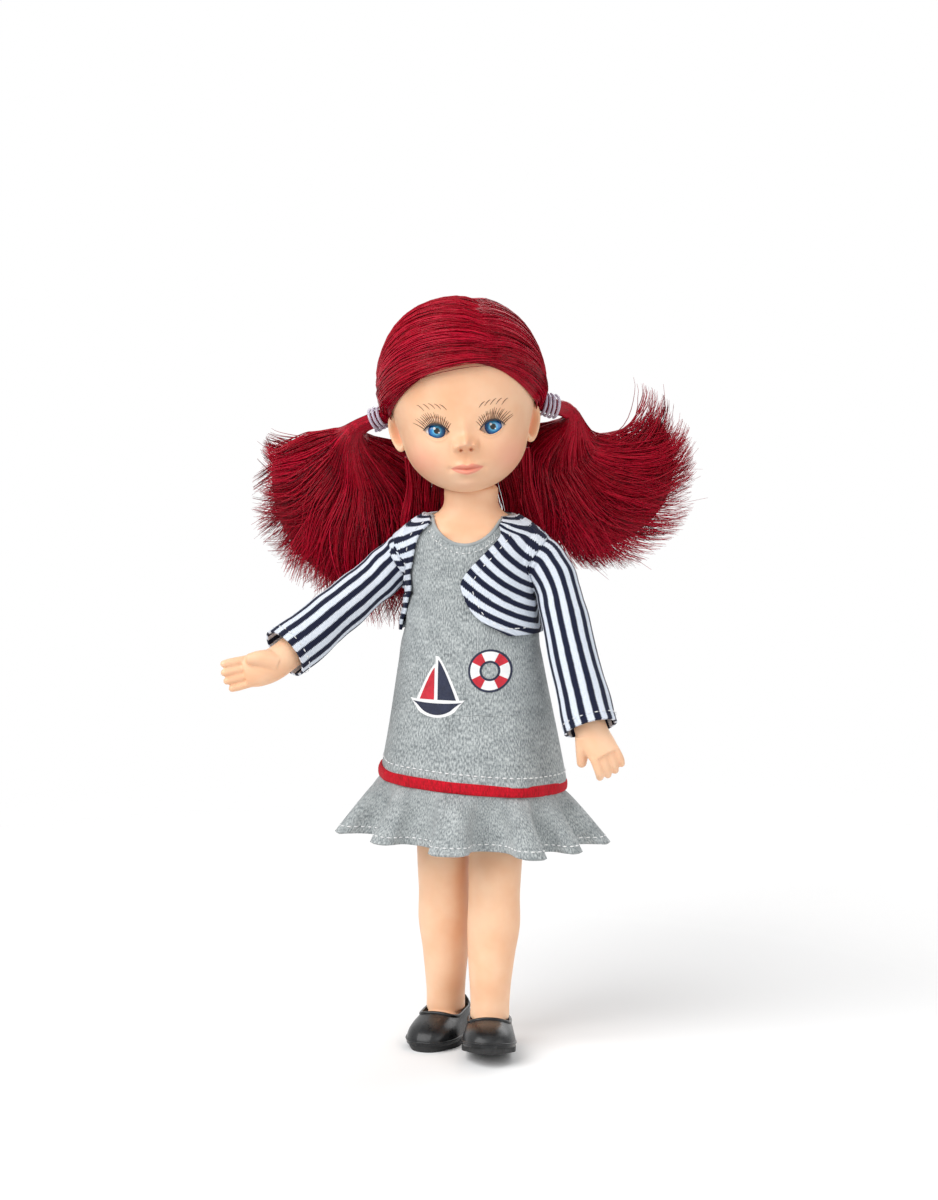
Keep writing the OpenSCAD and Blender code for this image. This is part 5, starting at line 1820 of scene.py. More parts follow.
    def build(self, shop: Workshop) -> None:
        """Makes the tunic, piping, ruffle, stitches and print."""
        self.tunic(shop)
        self.ruffle(shop)
        self.trim(shop)
        self.motifs(shop)

    def tunic(self, shop: Workshop) -> None:
        """Makes the tunic as one skin, cut at the neck and the arms."""
        cols, rows = 300, 190
        a = around(cols)
        v = np.linspace(0, 1, rows)
        aa, vv = np.meshgrid(a, v)
        zz = mix(self.hem_level(aa), self.top_z, vv)
        p = self.face_point(aa, zz)
        middle = (p[:-1] + p[1:] + np.roll(p[:-1], -1, 1) + np.roll(p[1:], -1, 1)) / 4
        arm = self.armhole - 0.9
        keep = (self.from_neck(middle) > self.neckline) & (self.from_armhole(middle) > arm)
        p = self.snap(p, keep, self.neckline, arm)
        girth = 2 * math.pi * 19
        uv = stack(np.linspace(0, girth, cols + 1)[None, :], zz[:, :1])
        skin = Surface(STANCE.place(p), wrap=True, uv=uv, keep=keep)
        cloth = mesh_piece("jersey_tunic", [skin], [shop.finishes.grey])
        tests = {"jersey_bodice": lambda q: q[2] > self.sway.top_z}
        tests.update({f"{side.word}_jersey_skirt": self.sway.is_below(side) for side in Side})
        bodice, *skirts = split_piece(cloth, tests)
        for part in (bodice, *skirts):
            thicken(part, self.thick, crisp=True)
        ride(bodice, "body", "grey_jersey", "dress_front", "dress_back")
        declare_cloth(bodice, (152, 50), "hung", "torso")
        for side, skirt in zip(Side, skirts):
            self.sway.hang(skirt, side, "grey_jersey")
            declare_cloth(skirt, (76, 26), "hung", "torso")

    def ruffle_point(self, a: Array, v: Array, grow: float) -> Array:
        """Gives points of the ruffle from its seam to its edge."""
        phase = np.radians(self.folds * np.degrees(a) + 40 * np.sin(2 * a))
        fold = np.sin(phase) + 0.35 * np.sin(np.radians((self.folds - 4) * np.degrees(a) + 70))
        gather = 0.16 * np.sin(4 * self.folds * a + 2 * np.sin(3 * a)) * bell((v - 0.12) / 0.22)
        out = self.ruffle_flare * v ** 0.9 + 2.3 * self.fold_depth * fold * v ** 0.8 + grow + gather
        roll = -0.055 * np.sin(2 * phase) * v + 0.03 * np.cos(phase) * v
        p = self.point(a + roll, np.full_like(a, self.hem_z), out - 0.3)
        drop = self.hem_level(a) - 2 * (self.piping + 0.15) - 0.1 - self.ruffle_drop * v + 0.25 * fold * v * v
        p[..., 2] = drop
        return p

    def ruffle(self, shop: Workshop) -> None:
        """Makes the gathered ruffle."""
        cols, rows = 560, 40
        a = around(cols)
        v = np.linspace(-0.06, 1, rows)
        aa, vv = np.meshgrid(a, v)
        p = self.ruffle_point(aa, np.clip(vv, 0, 1), self.thick)
        p[..., 2] -= self.ruffle_drop * np.minimum(vv, 0)
        uv = stack(np.linspace(0, 300, cols + 1)[None, :], -20 * v[:, None])
        skin = Surface(STANCE.place(p), wrap=True, uv=uv)
        cloth = mesh_piece("jersey_ruffle", [skin], [shop.finishes.grey])
        halves = self.sway.halves(cloth, "jersey_ruffle")
        for side, half, nodes in zip(Side, halves, (("dress_ruffle",), ())):
            thicken(half, self.thick, crisp=True)
            self.sway.hang(half, side, "grey_jersey", *nodes)
            declare_cloth(half, (150, 20), "gathered", "hem_piping")

    def trim(self, shop: Workshop) -> None:
        """Makes the piping, the stitches and the neck's edge, and paints what the solids keep."""
        a = around(240)
        self.roll_piping(shop, a)
        self.sew_hem(shop, np.append(a, a[0] + 2 * np.pi))
        self.trim_neck(shop)
        self.sew_closure(shop)
        for node in ("closure_hook_strip", "closure_loop_strip"):
            paint_node(node, shop.finishes.tape)
        paint_node("neck_plug", shop.finishes.plug)

    def roll_piping(self, shop: Workshop, a: Array) -> None:
        """Makes the red roll on the hem."""
        k = around(20)[:, None]
        wobble = 0.12 * np.sin(9 * a + 1.0) + 0.08 * np.sin(17 * a)
        out = self.thick / 2 + 0.15 + 0.78 * power(np.cos(k), 0.7) + wobble
        out = out + 0.6 * self.folds_at(a, self.hem_level(a))
        roll = self.point(a + 0 * k, np.full_like(out, self.hem_z), out)
        roll[..., 2] = self.hem_level(a) - self.piping + 0.1 + 1.25 * self.piping * power(np.sin(k), 0.8)
        run = np.linspace(0, 2 * math.pi * 24, 242)
        uv = stack(run, np.linspace(0, 6, 21)[:, None])
        skin = Surface(STANCE.place(roll), wrap=True, loop=True, uv=uv)
        halves = self.sway.halves(mesh_piece("red_piping", [skin], [shop.finishes.red]), "red_piping")
        for side, half, nodes in zip(Side, halves, (("hem_piping",), ())):
            self.sway.hang(half, side, "red_jersey", *nodes)

    def sew_hem(self, shop: Workshop, a: Array) -> None:
        """Sews a row above the piping and a row along the ruffle's edge."""
        hem = self.face_point(a, self.hem_level(a) + 2.6, self.stitch_lift)
        edge = self.ruffle_point(a, np.full_like(a, 0.87), self.thick + 0.1)
        sewn = [STANCE.place(hem), STANCE.place(edge)]
        rows = shop.stitches.run("hem_stitches", sewn, shop.finishes.thread, 2.0, (0.72, 0.25, 0.2))
        for side, half in zip(Side, self.sway.halves(rows, "hem_stitches")):
            self.sway.hang(half, side, "white_cotton")

    def trim_neck(self, shop: Workshop) -> None:
        """Makes the row of stitches round the front of the neck and the rolled edge above it."""
        row = shop.stitches.run("neck_stitches", [self.neck_curve(self.neckline + 2.0, 0.08)],
                                shop.finishes.thread, 1.7, (0.5, 0.16, 0.14))
        ride(row, "body", "white_cotton")
        line = self.neck_curve(self.neckline + 0.1, -0.3)
        ride(shop.tubes.run("neck_edge", line[None], 0.55, shop.finishes.grey, 10), "body", "grey_jersey")

    def neck_curve(self, radius: float, lift: float) -> Array:
        """Lays a curve round the neckline on the front of the tunic.

        Args:
            radius: Distance from the middle line of the neckline's cut.
            lift: Height above the cloth.

        Returns:
            Points in place.
        """
        t = np.linspace(math.pi * 1.05, math.pi * 1.95, 120)
        axis = self.neck_axis
        up = np.array([0, -axis[2], axis[1]])
        flat = self.neck_middle + radius * np.cos(t)[:, None] * np.array([1.0, 0, 0])
        flat = flat + radius * np.sin(t)[:, None] * up

        def is_outside(m: Array) -> Array:
            """Tells which places along the cut lie before the cloth."""
            q = flat + m[:, None] * axis
            return q[:, 1] < self.front_y(q[:, 0], q[:, 2], self.thick + lift)

        line = flat + halve(np.full(len(t), -14.0), np.full(len(t), 10.0), is_outside)[:, None] * axis
        return STANCE.place(line[line[:, 2] < self.top_z - 0.6])

    def sew_closure(self, shop: Workshop) -> None:
        """Sews round the closure and makes the edge in its middle, at the back."""
        z = np.linspace(self.sway.top_z + 1.5, self.top_z - 9, 90)
        lines = []
        for degrees in (81, 90, 99):
            a = np.full_like(z, math.radians(degrees))
            lines.append(STANCE.place(self.face_point(a, z, self.stitch_lift)))
        right, middle, left = lines
        sewn = [right, np.linspace(right[0], left[0], 12), left]
        ride(shop.stitches.run("closure_stitches", sewn, shop.finishes.thread), "body", "white_cotton")
        ride(shop.tubes.run("closure_edge", middle[None], 0.3, shop.finishes.grey, 8), "body", "grey_jersey")

    def patch(self, low: Array, high: Array, lift: float, material: int) -> Surface:
        """Prints the area between two lines on the front of the tunic.

        Args:
            low: Places across and up the front along one edge.
            high: Places along the other edge.
            lift: Height above the cloth.
            material: Number of the print's colour.

        Returns:
            The printed grid.
        """
        s = np.linspace(0, 1, self.print_rows)[:, None, None]
        flat = low[None] * (1 - s) + high[None] * s
        a = np.arctan2(-1.0, flat[..., 0] / 16)
        y = self.front_y(flat[..., 0], flat[..., 1], self.thick + lift) - self.folds_at(a, flat[..., 1])
        return Surface(STANCE.place(np.stack([flat[..., 0], y, flat[..., 1]], axis=-1)), material=material)

    def hull(self, grow: float) -> tuple:
        """Gives the lower and the upper edge of the boat's hull, with a rim of a width."""
        x, z = self.boat
        t = np.linspace(0, 1, 30)
        low = stack(x + mix(-5.0 - grow, 5.4 + grow, t), z - 0.4 - grow - 2.6 * np.sin(np.pi * t) ** 0.6)
        return low, stack(x + mix(-7.0 - grow, 7.6 + grow, t), z + grow + 0.2 + 0.4 * (2 * t - 1) ** 2)

    def sail(self, way: int, base: float, tall: float, grow: float) -> tuple:
        """Gives the two edges of a sail of the boat.

        Args:
            way: Side of the mast, 1 or -1.
            base: Width at the foot.
            tall: Height.
            grow: Width of the rim.

        Returns:
            Places along the mast and along the other edge.
        """
        x, z = self.boat
        t = np.linspace(0, 1, 30)
        up = z + 1.2 - grow + t * (tall + 2.2 * grow)
        edge = stack(x + way * (0.5 + (base + 1.6 * grow) * (1 - t) ** 0.8), up)
        return stack(x + way * (0.5 - grow), up), edge

    def rings_of_buoy(self, inner: float, outer: float, a: Array) -> tuple:
        """Gives the inner and the outer edge of the ring buoy at angles."""
        x, z = self.buoy
        return tuple(stack(x + r * np.cos(a), z + r * np.sin(a)) for r in (inner, outer))

    def motifs(self, shop: Workshop) -> None:
        """Prints a plain sailing boat and a ring buoy in the photograph's colours."""
        white, navy, red = range(3)
        fore, aft = (1, 5.4, 11.0), (-1, 4.3, 8.8)
        whole = np.linspace(0, 2 * np.pi, 73)
        prints = [(self.hull(0.75), 0.10, white), (self.hull(0.0), 0.16, navy),
                  (self.sail(*fore, 0.8), 0.10, white), (self.sail(*aft, 0.8), 0.10, white),
                  (self.sail(*fore, 0.0), 0.16, navy), (self.sail(*aft, 0.0), 0.16, red),
                  (self.rings_of_buoy(2.2, 5.9, whole), 0.10, navy),
                  (self.rings_of_buoy(2.8, 5.3, whole), 0.15, white)]
        for quarter in np.arange(4) * np.pi / 2:
            part = np.linspace(quarter + 0.45, quarter + 1.12, 14)
            prints.append((self.rings_of_buoy(2.8, 5.3, part), 0.19, red))
        skins = [self.patch(*edges, lift, colour) for edges, lift, colour in prints]
        inks = [shop.finishes.print_white, shop.finishes.print_navy, shop.finishes.print_red]
        ride(mesh_piece("dress_print", skins, inks), "body", "grey_jersey")


@dataclass
class Bolero:
    """The striped bolero and its sleeves, in millimetres."""

    dress: Dress
    lower_z: float = 117.0
    top_z: float = 149.4
    thick: float = 0.8
    gap: float = 0.65
    head_radius: float = 6.8
    cuff_radius: float = 7.5
    stitch_inset: float = 2.0
    curve_z: float = 132.0
    slant_z: float = 118.0
    slant_run: float = 27.0
    stripe_start: tuple = (8.0, 131.0)

    def __post_init__(self) -> None:
        """Works out the line of the fronts."""
        z = self.lower_z
        self.edges = Stations([[z, -50, 198], [z + 4, -74, 203], [z + 9, -86, 209], [z + 15, -90, 214],
                               [z + 23, -74, 229], [z + 29, -58, 232], [z + 34, -50, 232]])

    def angle(self, z: Array, share: Array) -> Array:
        """Gives angles at heights, by the share of the way from the left front to the right one."""
        return np.radians(mix(self.edges.read(z, 1), self.edges.read(z, 2), share))

    def stripe(self, p: Array, share: Array, step: Array) -> Array:
        """Gives the place across the stripes, measured up the cloth: they droop at the fronts, are level
        at the back and go round the neck on the shoulders.

        Args:
            p: Grid of points, row by row from the lower edge.
            share: Share of the way from the left front to the right one.
            step: Length of cloth from row to row.

        Returns:
            Distances in millimetres.
        """
        z = p[..., 2]
        rise = z[1, 0] - z[0, 0]
        step = mix(rise, step, smooth((z - self.curve_z) / 6))
        height = self.lower_z + np.cumsum(step, axis=0) - step[:1]
        upright = rise / step
        is_left = share < 0.5
        x = np.where(is_left, p[..., 0], -p[..., 0])
        up = np.clip((z - self.slant_z) / self.slant_run, 0, 1.1)
        cant = np.radians(np.where(is_left, 25 + 25 * up, 12 + 16 * up))
        cant = cant * smooth((-p[..., 1] + 4) / 8) * smooth((upright - 0.4) / 0.5)
        x0, z0 = self.stripe_start
        return (height - z0) * np.cos(cant) + (x - x0) * np.sin(cant)

    def build(self, shop: Workshop, arms: Sequence[Arm]) -> None:
        """Makes the body of the bolero, its sleeves and their stitches."""
        cols, rows = 260, 110
        z = np.linspace(self.lower_z, self.top_z, rows)
        s = np.linspace(0, 1, cols)
        a = self.angle(z[:, None], s[None, :])
        zz = np.broadcast_to(z[:, None], a.shape)
        base = self.gap + self.dress.thick + self.thick
        crease = 0.16 * np.sin(0.9 * zz + 7 * s[None, :]) * bell((np.abs(np.cos(a)) - 0.9) / 0.3)
        p = self.dress.point(a, zz, base + crease)
        middle = (p[:-1, :-1] + p[1:, :-1] + p[:-1, 1:] + p[1:, 1:]) / 4
        neck, arm = self.dress.neckline + 0.4, self.dress.armhole - 0.5
        keep = (self.dress.from_neck(middle) > neck) & (self.dress.from_armhole(middle) > arm)
        below = self.dress.point(a, zz - (z[1] - z[0]), base + crease)
        stripes = self.stripe(p, s[None, :], np.linalg.norm(p - below, axis=-1))
        pattern = (p.reshape(-1, 3), stripes.ravel())
        p = self.dress.snap(p, keep, neck, arm)
        run = np.linspace(0, 110, cols)
        uv = stack(stripes, run[None, :])
        skin = Surface(STANCE.place(p), uv=uv, keep=keep)
        cloth = mesh_piece("striped_bolero", [skin], [shop.finishes.striped])
        thicken(cloth, self.thick)
        ride(cloth, "body", "striped_jersey", "bolero")
        declare_cloth(cloth, (100, 36), "draped", "dress_front", "dress_back")
        lift = base + self.dress.stitch_lift
        lines = []
        for end in (0.028, 0.972):
            line = self.dress.point(self.angle(z, end), np.maximum(z, self.lower_z + self.stitch_inset), lift)
            lines.append(STANCE.place(line[self.dress.from_neck(line) > neck + self.stitch_inset]))
        across = np.linspace(0.03, 0.97, 160)
        low = np.full_like(across, self.lower_z + self.stitch_inset)
        lines.append(STANCE.place(self.dress.point(self.angle(low, across), low, lift)))
        ride(shop.stitches.run("bolero_stitches", lines, shop.finishes.thread, 2.1), "body", "white_cotton")
        for one in arms:
            self.armhole_band(shop, one.side, base, pattern)
            self.sleeve(shop, one)

    def armhole_band(self, shop: Workshop, side: Side, grow: float, pattern: tuple) -> None:
        """Makes the turned band that closes the bolero round a sleeve's head.

        Args:
            shop: Tools and finishes.
            side: Side of the body.
            grow: Height of the bolero's outer face above the tunic's inner one.
            pattern: Points of the bolero and their places across its stripes.
        """
        axis, middle = STANCE.shoulder_axis(side), STANCE.shoulder(side)
        e = np.array([0, -1.0, 0])
        g = np.cross(axis, e)
        k = around(96)
        rim = self.dress.armhole - 0.45
        spokes = np.cos(k)[:, None] * e + np.sin(k)[:, None] * g
        low = halve(np.full(len(k), -9.0), np.full(len(k), 9.0),
                    lambda t: self.dress.holds(middle + rim * spokes + t[:, None] * axis, grow))
        rows = []
        for share in np.linspace(0, 1, 12):
            along = mix(low - 0.5, np.maximum(low + 0.4, 1.3), share)
            r = rim + 0.25 * math.sin(math.pi * min(1, 1.3 * share)) - 0.55 * share ** 2
            rows.append(middle + r * spokes + along[:, None] * axis)
        grid = np.array(rows)
        closed = np.concatenate([grid, grid[:, :1]], axis=1)
        places, stripes = pattern
        near = [np.argmin(np.sum((places - q) ** 2, axis=1)) for q in closed.reshape(-1, 3)]
        uv = stack(stripes[near].reshape(closed.shape[:2]), np.hypot(closed[..., 0], closed[..., 1]))
        skin = Surface(STANCE.place(grid), wrap=True, uv=uv)
        band = mesh_piece(f"{side.word}_armhole_band", [skin], [shop.finishes.striped])
        thicken(band, 0.5)
        ride(band, "body", "striped_jersey")

    def sleeve(self, shop: Workshop, arm: Arm) -> None:
        """Makes one sleeve with its creases and cuff."""
        a, v, h = STANCE.shoulder_axis(arm.side), arm.arm_line, arm.hand_line
        s = STANCE.shoulder(arm.side)
        b = s + arm.bend * a
        lift, long, r = 0.3 * h, arm.sleeve_length, self.head_radius
        path = Path([s + 0.2 * a, s + 0.62 * arm.bend * a, b + 6 * v, b + 18 * v, b + (long - 14) * v + lift,
                     b + (long - 5) * v + 2 * lift, b + long * v + 4 * lift])
        cuff = self.cuff_radius
        sizes = Stations([
            [0, r], [0.5, r], [0.9, r - 0.1], [1.3, r - 0.35], [1.7, r - 0.45], [2.2, r - 0.5],
            [2.8, r - 0.2], [3.5, r], [4.2, mix(r, cuff, 0.4)], [5.1, mix(r, cuff, 0.85)], [6, cuff]])
        u = np.linspace(0, 6, 150)
        k = around(120)
        uu, kk = np.meshgrid(u, k, indexing="ij")
        crease = 0.28 * np.sin(5.2 * uu + 1.6 * np.sin(kk + 0.7) + arm.side.value) * bell((uu - 1.9) / 1.1)
        crease = crease + 0.2 * np.sin(3.4 * uu + 2.2 * np.cos(kk)) * bell((uu - 4.2) / 1.2)
        flare = 0.12 * np.sin(3 * kk + 1) * smooth((uu - 4.8) / 1.2)
        size = sizes.read(uu, 1) + np.maximum(crease, -0.12) + flare
        grid = arm.rings(path, u, size, size, 120)
        stripes = 12 * StripedJersey().period
        run = np.concatenate([[0], np.cumsum(np.linalg.norm(np.diff(path.at(u), axis=0), axis=1))])
        uv = stack(np.linspace(0, stripes, 121)[None, :], run[:, None])
        word = arm.side.word
        skin = Surface(STANCE.place(grid), wrap=True, uv=uv)
        cloth = mesh_piece(f"striped_{word}_sleeve", [skin], [shop.finishes.striped])
        thicken(cloth, self.thick)
        ride(cloth, f"{word}_arm", "striped_jersey", f"{word}_sleeve")
        declare_cloth(cloth, (46, 58), "draped", f"{word}_arm")
        place = np.array([np.interp(run[-1] - 2.2, run, u)])
        size = sizes.read(place, 1) + 0.2
        near = arm.rings(path, place, size, size, 120)[0]
        line = STANCE.place(np.concatenate([near, near[:1]]))
        sewn = shop.stitches.run(f"{word}_cuff_stitches", [line], shop.finishes.thread, 2.1)
        ride(sewn, f"{word}_arm", "white_cotton")


@dataclass(frozen=True)
class FanShape:
    """How a pigtail spreads below its tie: its greatest length in millimetres, the angles of its lower and
    upper edges, how far the upper one lifts, and the angle where it is longest, in degrees."""

    length: float
    low: float
    high: float
    lift: float
    longest: float
    spread: float
    power: float


@dataclass
class Hair:
    """The rooted hair: a combed cap, two ties and two pigtails, in millimetres and degrees."""

    head: Head
    thick: float = 2.3
    lag_share: float = 0.92
    lag_start: float = 4.0
    lag_run: float = 30.0
    gap: float = 0.5
    tie_offset: float = 22.6
    tie_back: float = 8.0
    tie_z: float = 178.0
    tie_droop: float = 18.0
    bundle: float = 2.1
    turns: float = 3.5
    elastic: float = 0.9
    pitch: float = 1.36
    left: FanShape = FanShape(53.0, -122.0, -28.0, 36.0, -54.5, 88.0, 2.0)
    right: FanShape = FanShape(60.0, -120.0, -22.0, 20.0, -87.5, 138.0, 1.54)
    half_thick: float = 7.0
    set_back: float = 13.0
    root_depth: float = 2.4
    root_span: float = 58.0
    cap_strands: int = 1950
    tail_strands: int = 1950
    nape_strands: int = 760
    nape_locks: int = 26
    nape_z: tuple = (166.0, 145.0)
    nape_still_z: float = 163.0
    nape_run: float = 14.0
    strand: float = 0.13

    def tie_point(self, side: Side) -> Array:
        """Gives the middle of a tie."""
        return np.array([side.value * self.tie_offset, self.tie_back, self.tie_z])

    def in_plane(self, side: Side, degrees: Array) -> Array:
        """Gives a direction across and up."""
        r = np.radians(degrees)
        return stack(side.value * np.cos(r), 0 * r, np.sin(r))

    def tie_axis(self, side: Side) -> Array:
        """Gives the direction of the bundle in a tie."""
        return unit(self.in_plane(side, np.array(-self.tie_droop)) + np.array([0, 0.4, 0]))

    def tie_frame(self, side: Side) -> tuple:
        """Gives the direction of the bundle in a tie and two directions across it."""
        axis = self.tie_axis(side)
        across = self.in_plane(side, np.array(90 - self.tie_droop))
        return axis, across, np.cross(axis, across)

    def strands(self, shop: Workshop, name: str, lines: Array, widths: Array,
                tints: Array) -> Thing:
        """Makes a piece of single strands.

        Args:
            shop: Tools and finishes.
            name: Name of the piece.
            lines: Points of the strands, before the head is turned.
            widths: Share of the thickness at each point.
            tints: A value from 0 to 1 for each strand.

        Returns:
            The finished piece.
        """
        lines = STANCE.place_head(lines)
        return shop.tubes.run(name, lines, self.strand, shop.finishes.hair, 3, widths, tints)

    def hairline(self, a: Array) -> Array:
        """Gives the height of the hairline round the head."""
        s = np.sin(a)
        front = np.clip(-s, 0, None)
        sweep = 1.8 * np.clip(-np.cos(a), 0, None) * front
        return self.head.eye_z + 3.5 + 14.5 * front ** 1.4 - sweep - 17 * np.clip(s, 0, None) ** 1.6

    def build(self, shop: Workshop) -> None:
        """Makes the cap, the ties and the pigtails."""
        self.cap(shop)
        for side in Side:
            self.tie(shop, side)
            self.pigtail(shop, side)

    def cap(self, shop: Workshop) -> None:
        """Makes the mass on the scalp and the combed strands over it."""
        cols = 160
        s = np.concatenate([[0.004, 0.02, 0.05], np.linspace(0.09, 1, 44)])[:, None]
        a = around(cols)[None, :]
        z = mix(self.head.mid_z + self.head.crown_rise, self.hairline(a), 0.6 * s * s + 0.4 * s)
        p = self.head.scalp(np.broadcast_to(a, z.shape), z)
        out = unit(p - self.head.heart)
        rise = 0.3 + (self.gap + self.thick - 0.9) * (1 - s ** 4)
        grid = np.concatenate([p + out * rise[..., None], (p + out * 0.15)[::-1]])
        uv = stack(np.linspace(0, 1, cols + 1)[None, :], np.linspace(0, 1, len(grid))[:, None])
        skin = Surface(STANCE.place_head(grid), wrap=True, uv=uv, caps=(True, True))
        ride(mesh_piece("hair_mass", [skin], [shop.finishes.hair_mass]), "head", "hair_fibre", "hair_cap")
        rng = np.random.default_rng(SEED + 1)
        for side in Side:
            piece = self.strands(shop, f"{side.word}_combed_hair", *self.combed(side, rng))
            ride(piece, "head", "hair_fibre")

    def combed(self, side: Side, rng: np.random.Generator) -> tuple:
        """Combs strands from the parting and the nape to a tie.

        Args:
            side: Side of the head.
            rng: Source of the small differences.

        Returns:
            The lines, their widths and their tints.
        """
        v = side.value
        count, steps = self.cap_strands, 16
        part = Path([
            [7.5, -17.5, 9.6], [7.0, -13.5, 17.0], [5.0, -4.0, 24.0], [3.0, 8.0, 23.0], [1.0, 20.0, 10.0],
            [0.0, 21.0, -3.0], [0.0, 16.0, -17.0], [v * 7.0, 15.0, -19.0], [v * 13.5, 11.5, -15.5],
            [v * 17.5, 8.0, -9.5]])
        rim_count = count // 3
        place = np.concatenate([rng.uniform(-2.2, 0.0, rim_count), rng.uniform(0.0, 9.0, count - rim_count)])
        place = np.sort(place)
        over = np.array([-v * 2.2, 0, 0]) * (place < 4.6)[:, None] * rng.uniform(0, 1.6, (count, 1))
        start = unit(part.at(np.maximum(place, 0)) + over + rng.normal(0, 0.6, (count, 3)))
        aim = self.tie_point(side) - self.head.heart
        end = unit(aim + rng.normal(0, 0.9, (count, 3)))
        angle = np.arccos(np.clip(np.sum(start * end, axis=1), -1, 1))[:, None]
        u = np.linspace(0, 1, steps)[None, :]
        w0 = np.sin((1 - u) * angle) / np.sin(angle)
        w1 = np.sin(u * angle) / np.sin(angle)
        d = w0[..., None] * start[:, None] + w1[..., None] * end[:, None]
        round_head = math.radians(-70) + np.linspace(0, 1, steps) * math.radians(85 if v > 0 else -125)
        rim = self.head.scalp(round_head, self.hairline(round_head) + 0.5) - self.head.heart
        front = smooth(-place / 2.2)[:, None, None] * (0.96 + 0.06 * rng.uniform(-1, 1, (count, 1, 1)))
        d = unit(mix(d, unit(rim)[None], front * (1 - smooth((u - 0.55) / 0.45))[..., None]))
        clump = np.floor((place + 3) * 7)
        noise = np.random.default_rng(SEED + 5).uniform(-1, 1, (200, 4))[clump.astype(int) % 200]
        bow = (noise[:, :1] * 0.035 + rng.normal(0, 0.012, (count, 1))) * np.sin(np.pi * u)
        across = unit(np.cross(start, end))
        d = unit(d + bow[..., None] * across[:, None])
        layer = rng.uniform(0.25, 1, (count, 1)) ** 0.7
        ripple = 0.18 * noise[:, 1:2] * np.sin(2 * np.pi * u + 3 * noise[:, 2:3])
        height = self.gap + 0.35 + layer * (self.thick - 0.1) + ripple
        root = 0.62 + 0.38 * smooth(u / 0.16)
        edge = 0.06 + 0.94 * smooth((place[:, None] + 2.2) / 2.0)
        edge = edge * np.where(place[:, None] > 5.4, 0.45, 1.0)
        line = self.head.heart + d * (self.head.reach(d) + 0.2 + height * root * edge)[..., None]
        spread = rng.normal(0, 0.5, (count, 2)) * self.bundle
        axis, e, g = self.tie_frame(side)
        spread = np.clip(spread, -self.bundle * 0.7, self.bundle * 0.7)
        bundle = self.tie_point(side) - 1.2 * axis + spread[:, :1] * e + spread[:, 1:] * g
        pull = smooth((u - 0.72) / 0.28)[..., None]
        line = line * (1 - pull) + (bundle[:, None] + axis * (2.2 * (u - 1))[..., None]) * pull
        width = np.clip(0.5 + 3 * u, 0, 1) * np.clip(6 * (1 - u) + 0.55, 0, 1)
        width = width * rng.uniform(0.75, 1.2, (count, 1))
        tint = np.clip(0.5 + 0.28 * noise[:, 3] + rng.normal(0, 0.16, count), 0, 1)
        return line, width, tint

    def tie(self, shop: Workshop, side: Side) -> None:
        """Makes one tie: clear elastic wound round the bundle."""
        axis, e, g = self.tie_frame(side)
        t = np.linspace(0, 2 * np.pi * self.turns, int(48 * self.turns))
        r = self.bundle + self.gap + self.elastic / 2 + 0.12 * np.sin(1.7 * t)
        along = -1 + self.pitch * t / (2 * np.pi)
        line = self.tie_point(side) + along[:, None] * axis
        line = STANCE.place_head(line + (r * np.cos(t))[:, None] * e + (r * np.sin(t))[:, None] * g)
        name = f"{side.word}_wound_elastic"
        coil = shop.tubes.run(name, line[None], self.elastic / 2, shop.finishes.elastic, 12)
        ride(coil, "head", "clear_elastic", f"{side.word}_hair_tie")

    def fan(self, side: Side, s: Array, share: Array, depth: Array, spin: Array) -> Array:
        """Gives points of a pigtail.

        Args:
            side: The pigtail's side.
            s: Share of the way from the tie to the ends.
            share: Share of the way from the lower to the upper edge.
            depth: From -1 at the front to 1 at the back.
            spin: Angle in the bundle at the root.

        Returns:
            The points.
        """
        shape = self.left if side is Side.LEFT else self.right
        angle = mix(shape.low, shape.high + shape.lift * s * s, share)
        length = shape.length * (1 - (np.abs(angle - shape.longest) / shape.spread) ** shape.power)
        if side is Side.LEFT:
            angle = angle - 24 * (1 - s) * share
        else:
            length = length * (1 - 0.5 * smooth((-100 - angle) / 18))
            bend = 26 * np.maximum(1 - s, 0) ** 1.3
            angle = angle + bend * (1 - 0.6 * share) * smooth((angle + 118) / 40)
        puff = self.half_thick * (0.35 + s) * np.sqrt(np.clip(1 - np.clip(s, 0, 1) ** 6, 0.02, None))
        out = self.tie_point(side) + (length * s)[..., None] * self.in_plane(side, angle)
        back = self.set_back * smooth(s / 0.42)
        back = back + puff * depth * np.clip(4 * share * (1 - share), 0.02, None) ** 0.45
        out = out + back[..., None] * np.array([0, 1.0, 0])
        d, e, g = self.tie_frame(side)
        g = -side.value * g
        root = self.tie_point(side) + (self.root_span * s - self.root_depth)[..., None] * d
        size = self.bundle * np.minimum(1, np.abs(depth) + np.abs(2 * share - 1))
        root = root + (size * np.cos(spin))[..., None] * e + (size * np.sin(spin))[..., None] * g
        return mix(root, out, smooth((s - 0.14) / 0.26)[..., None])

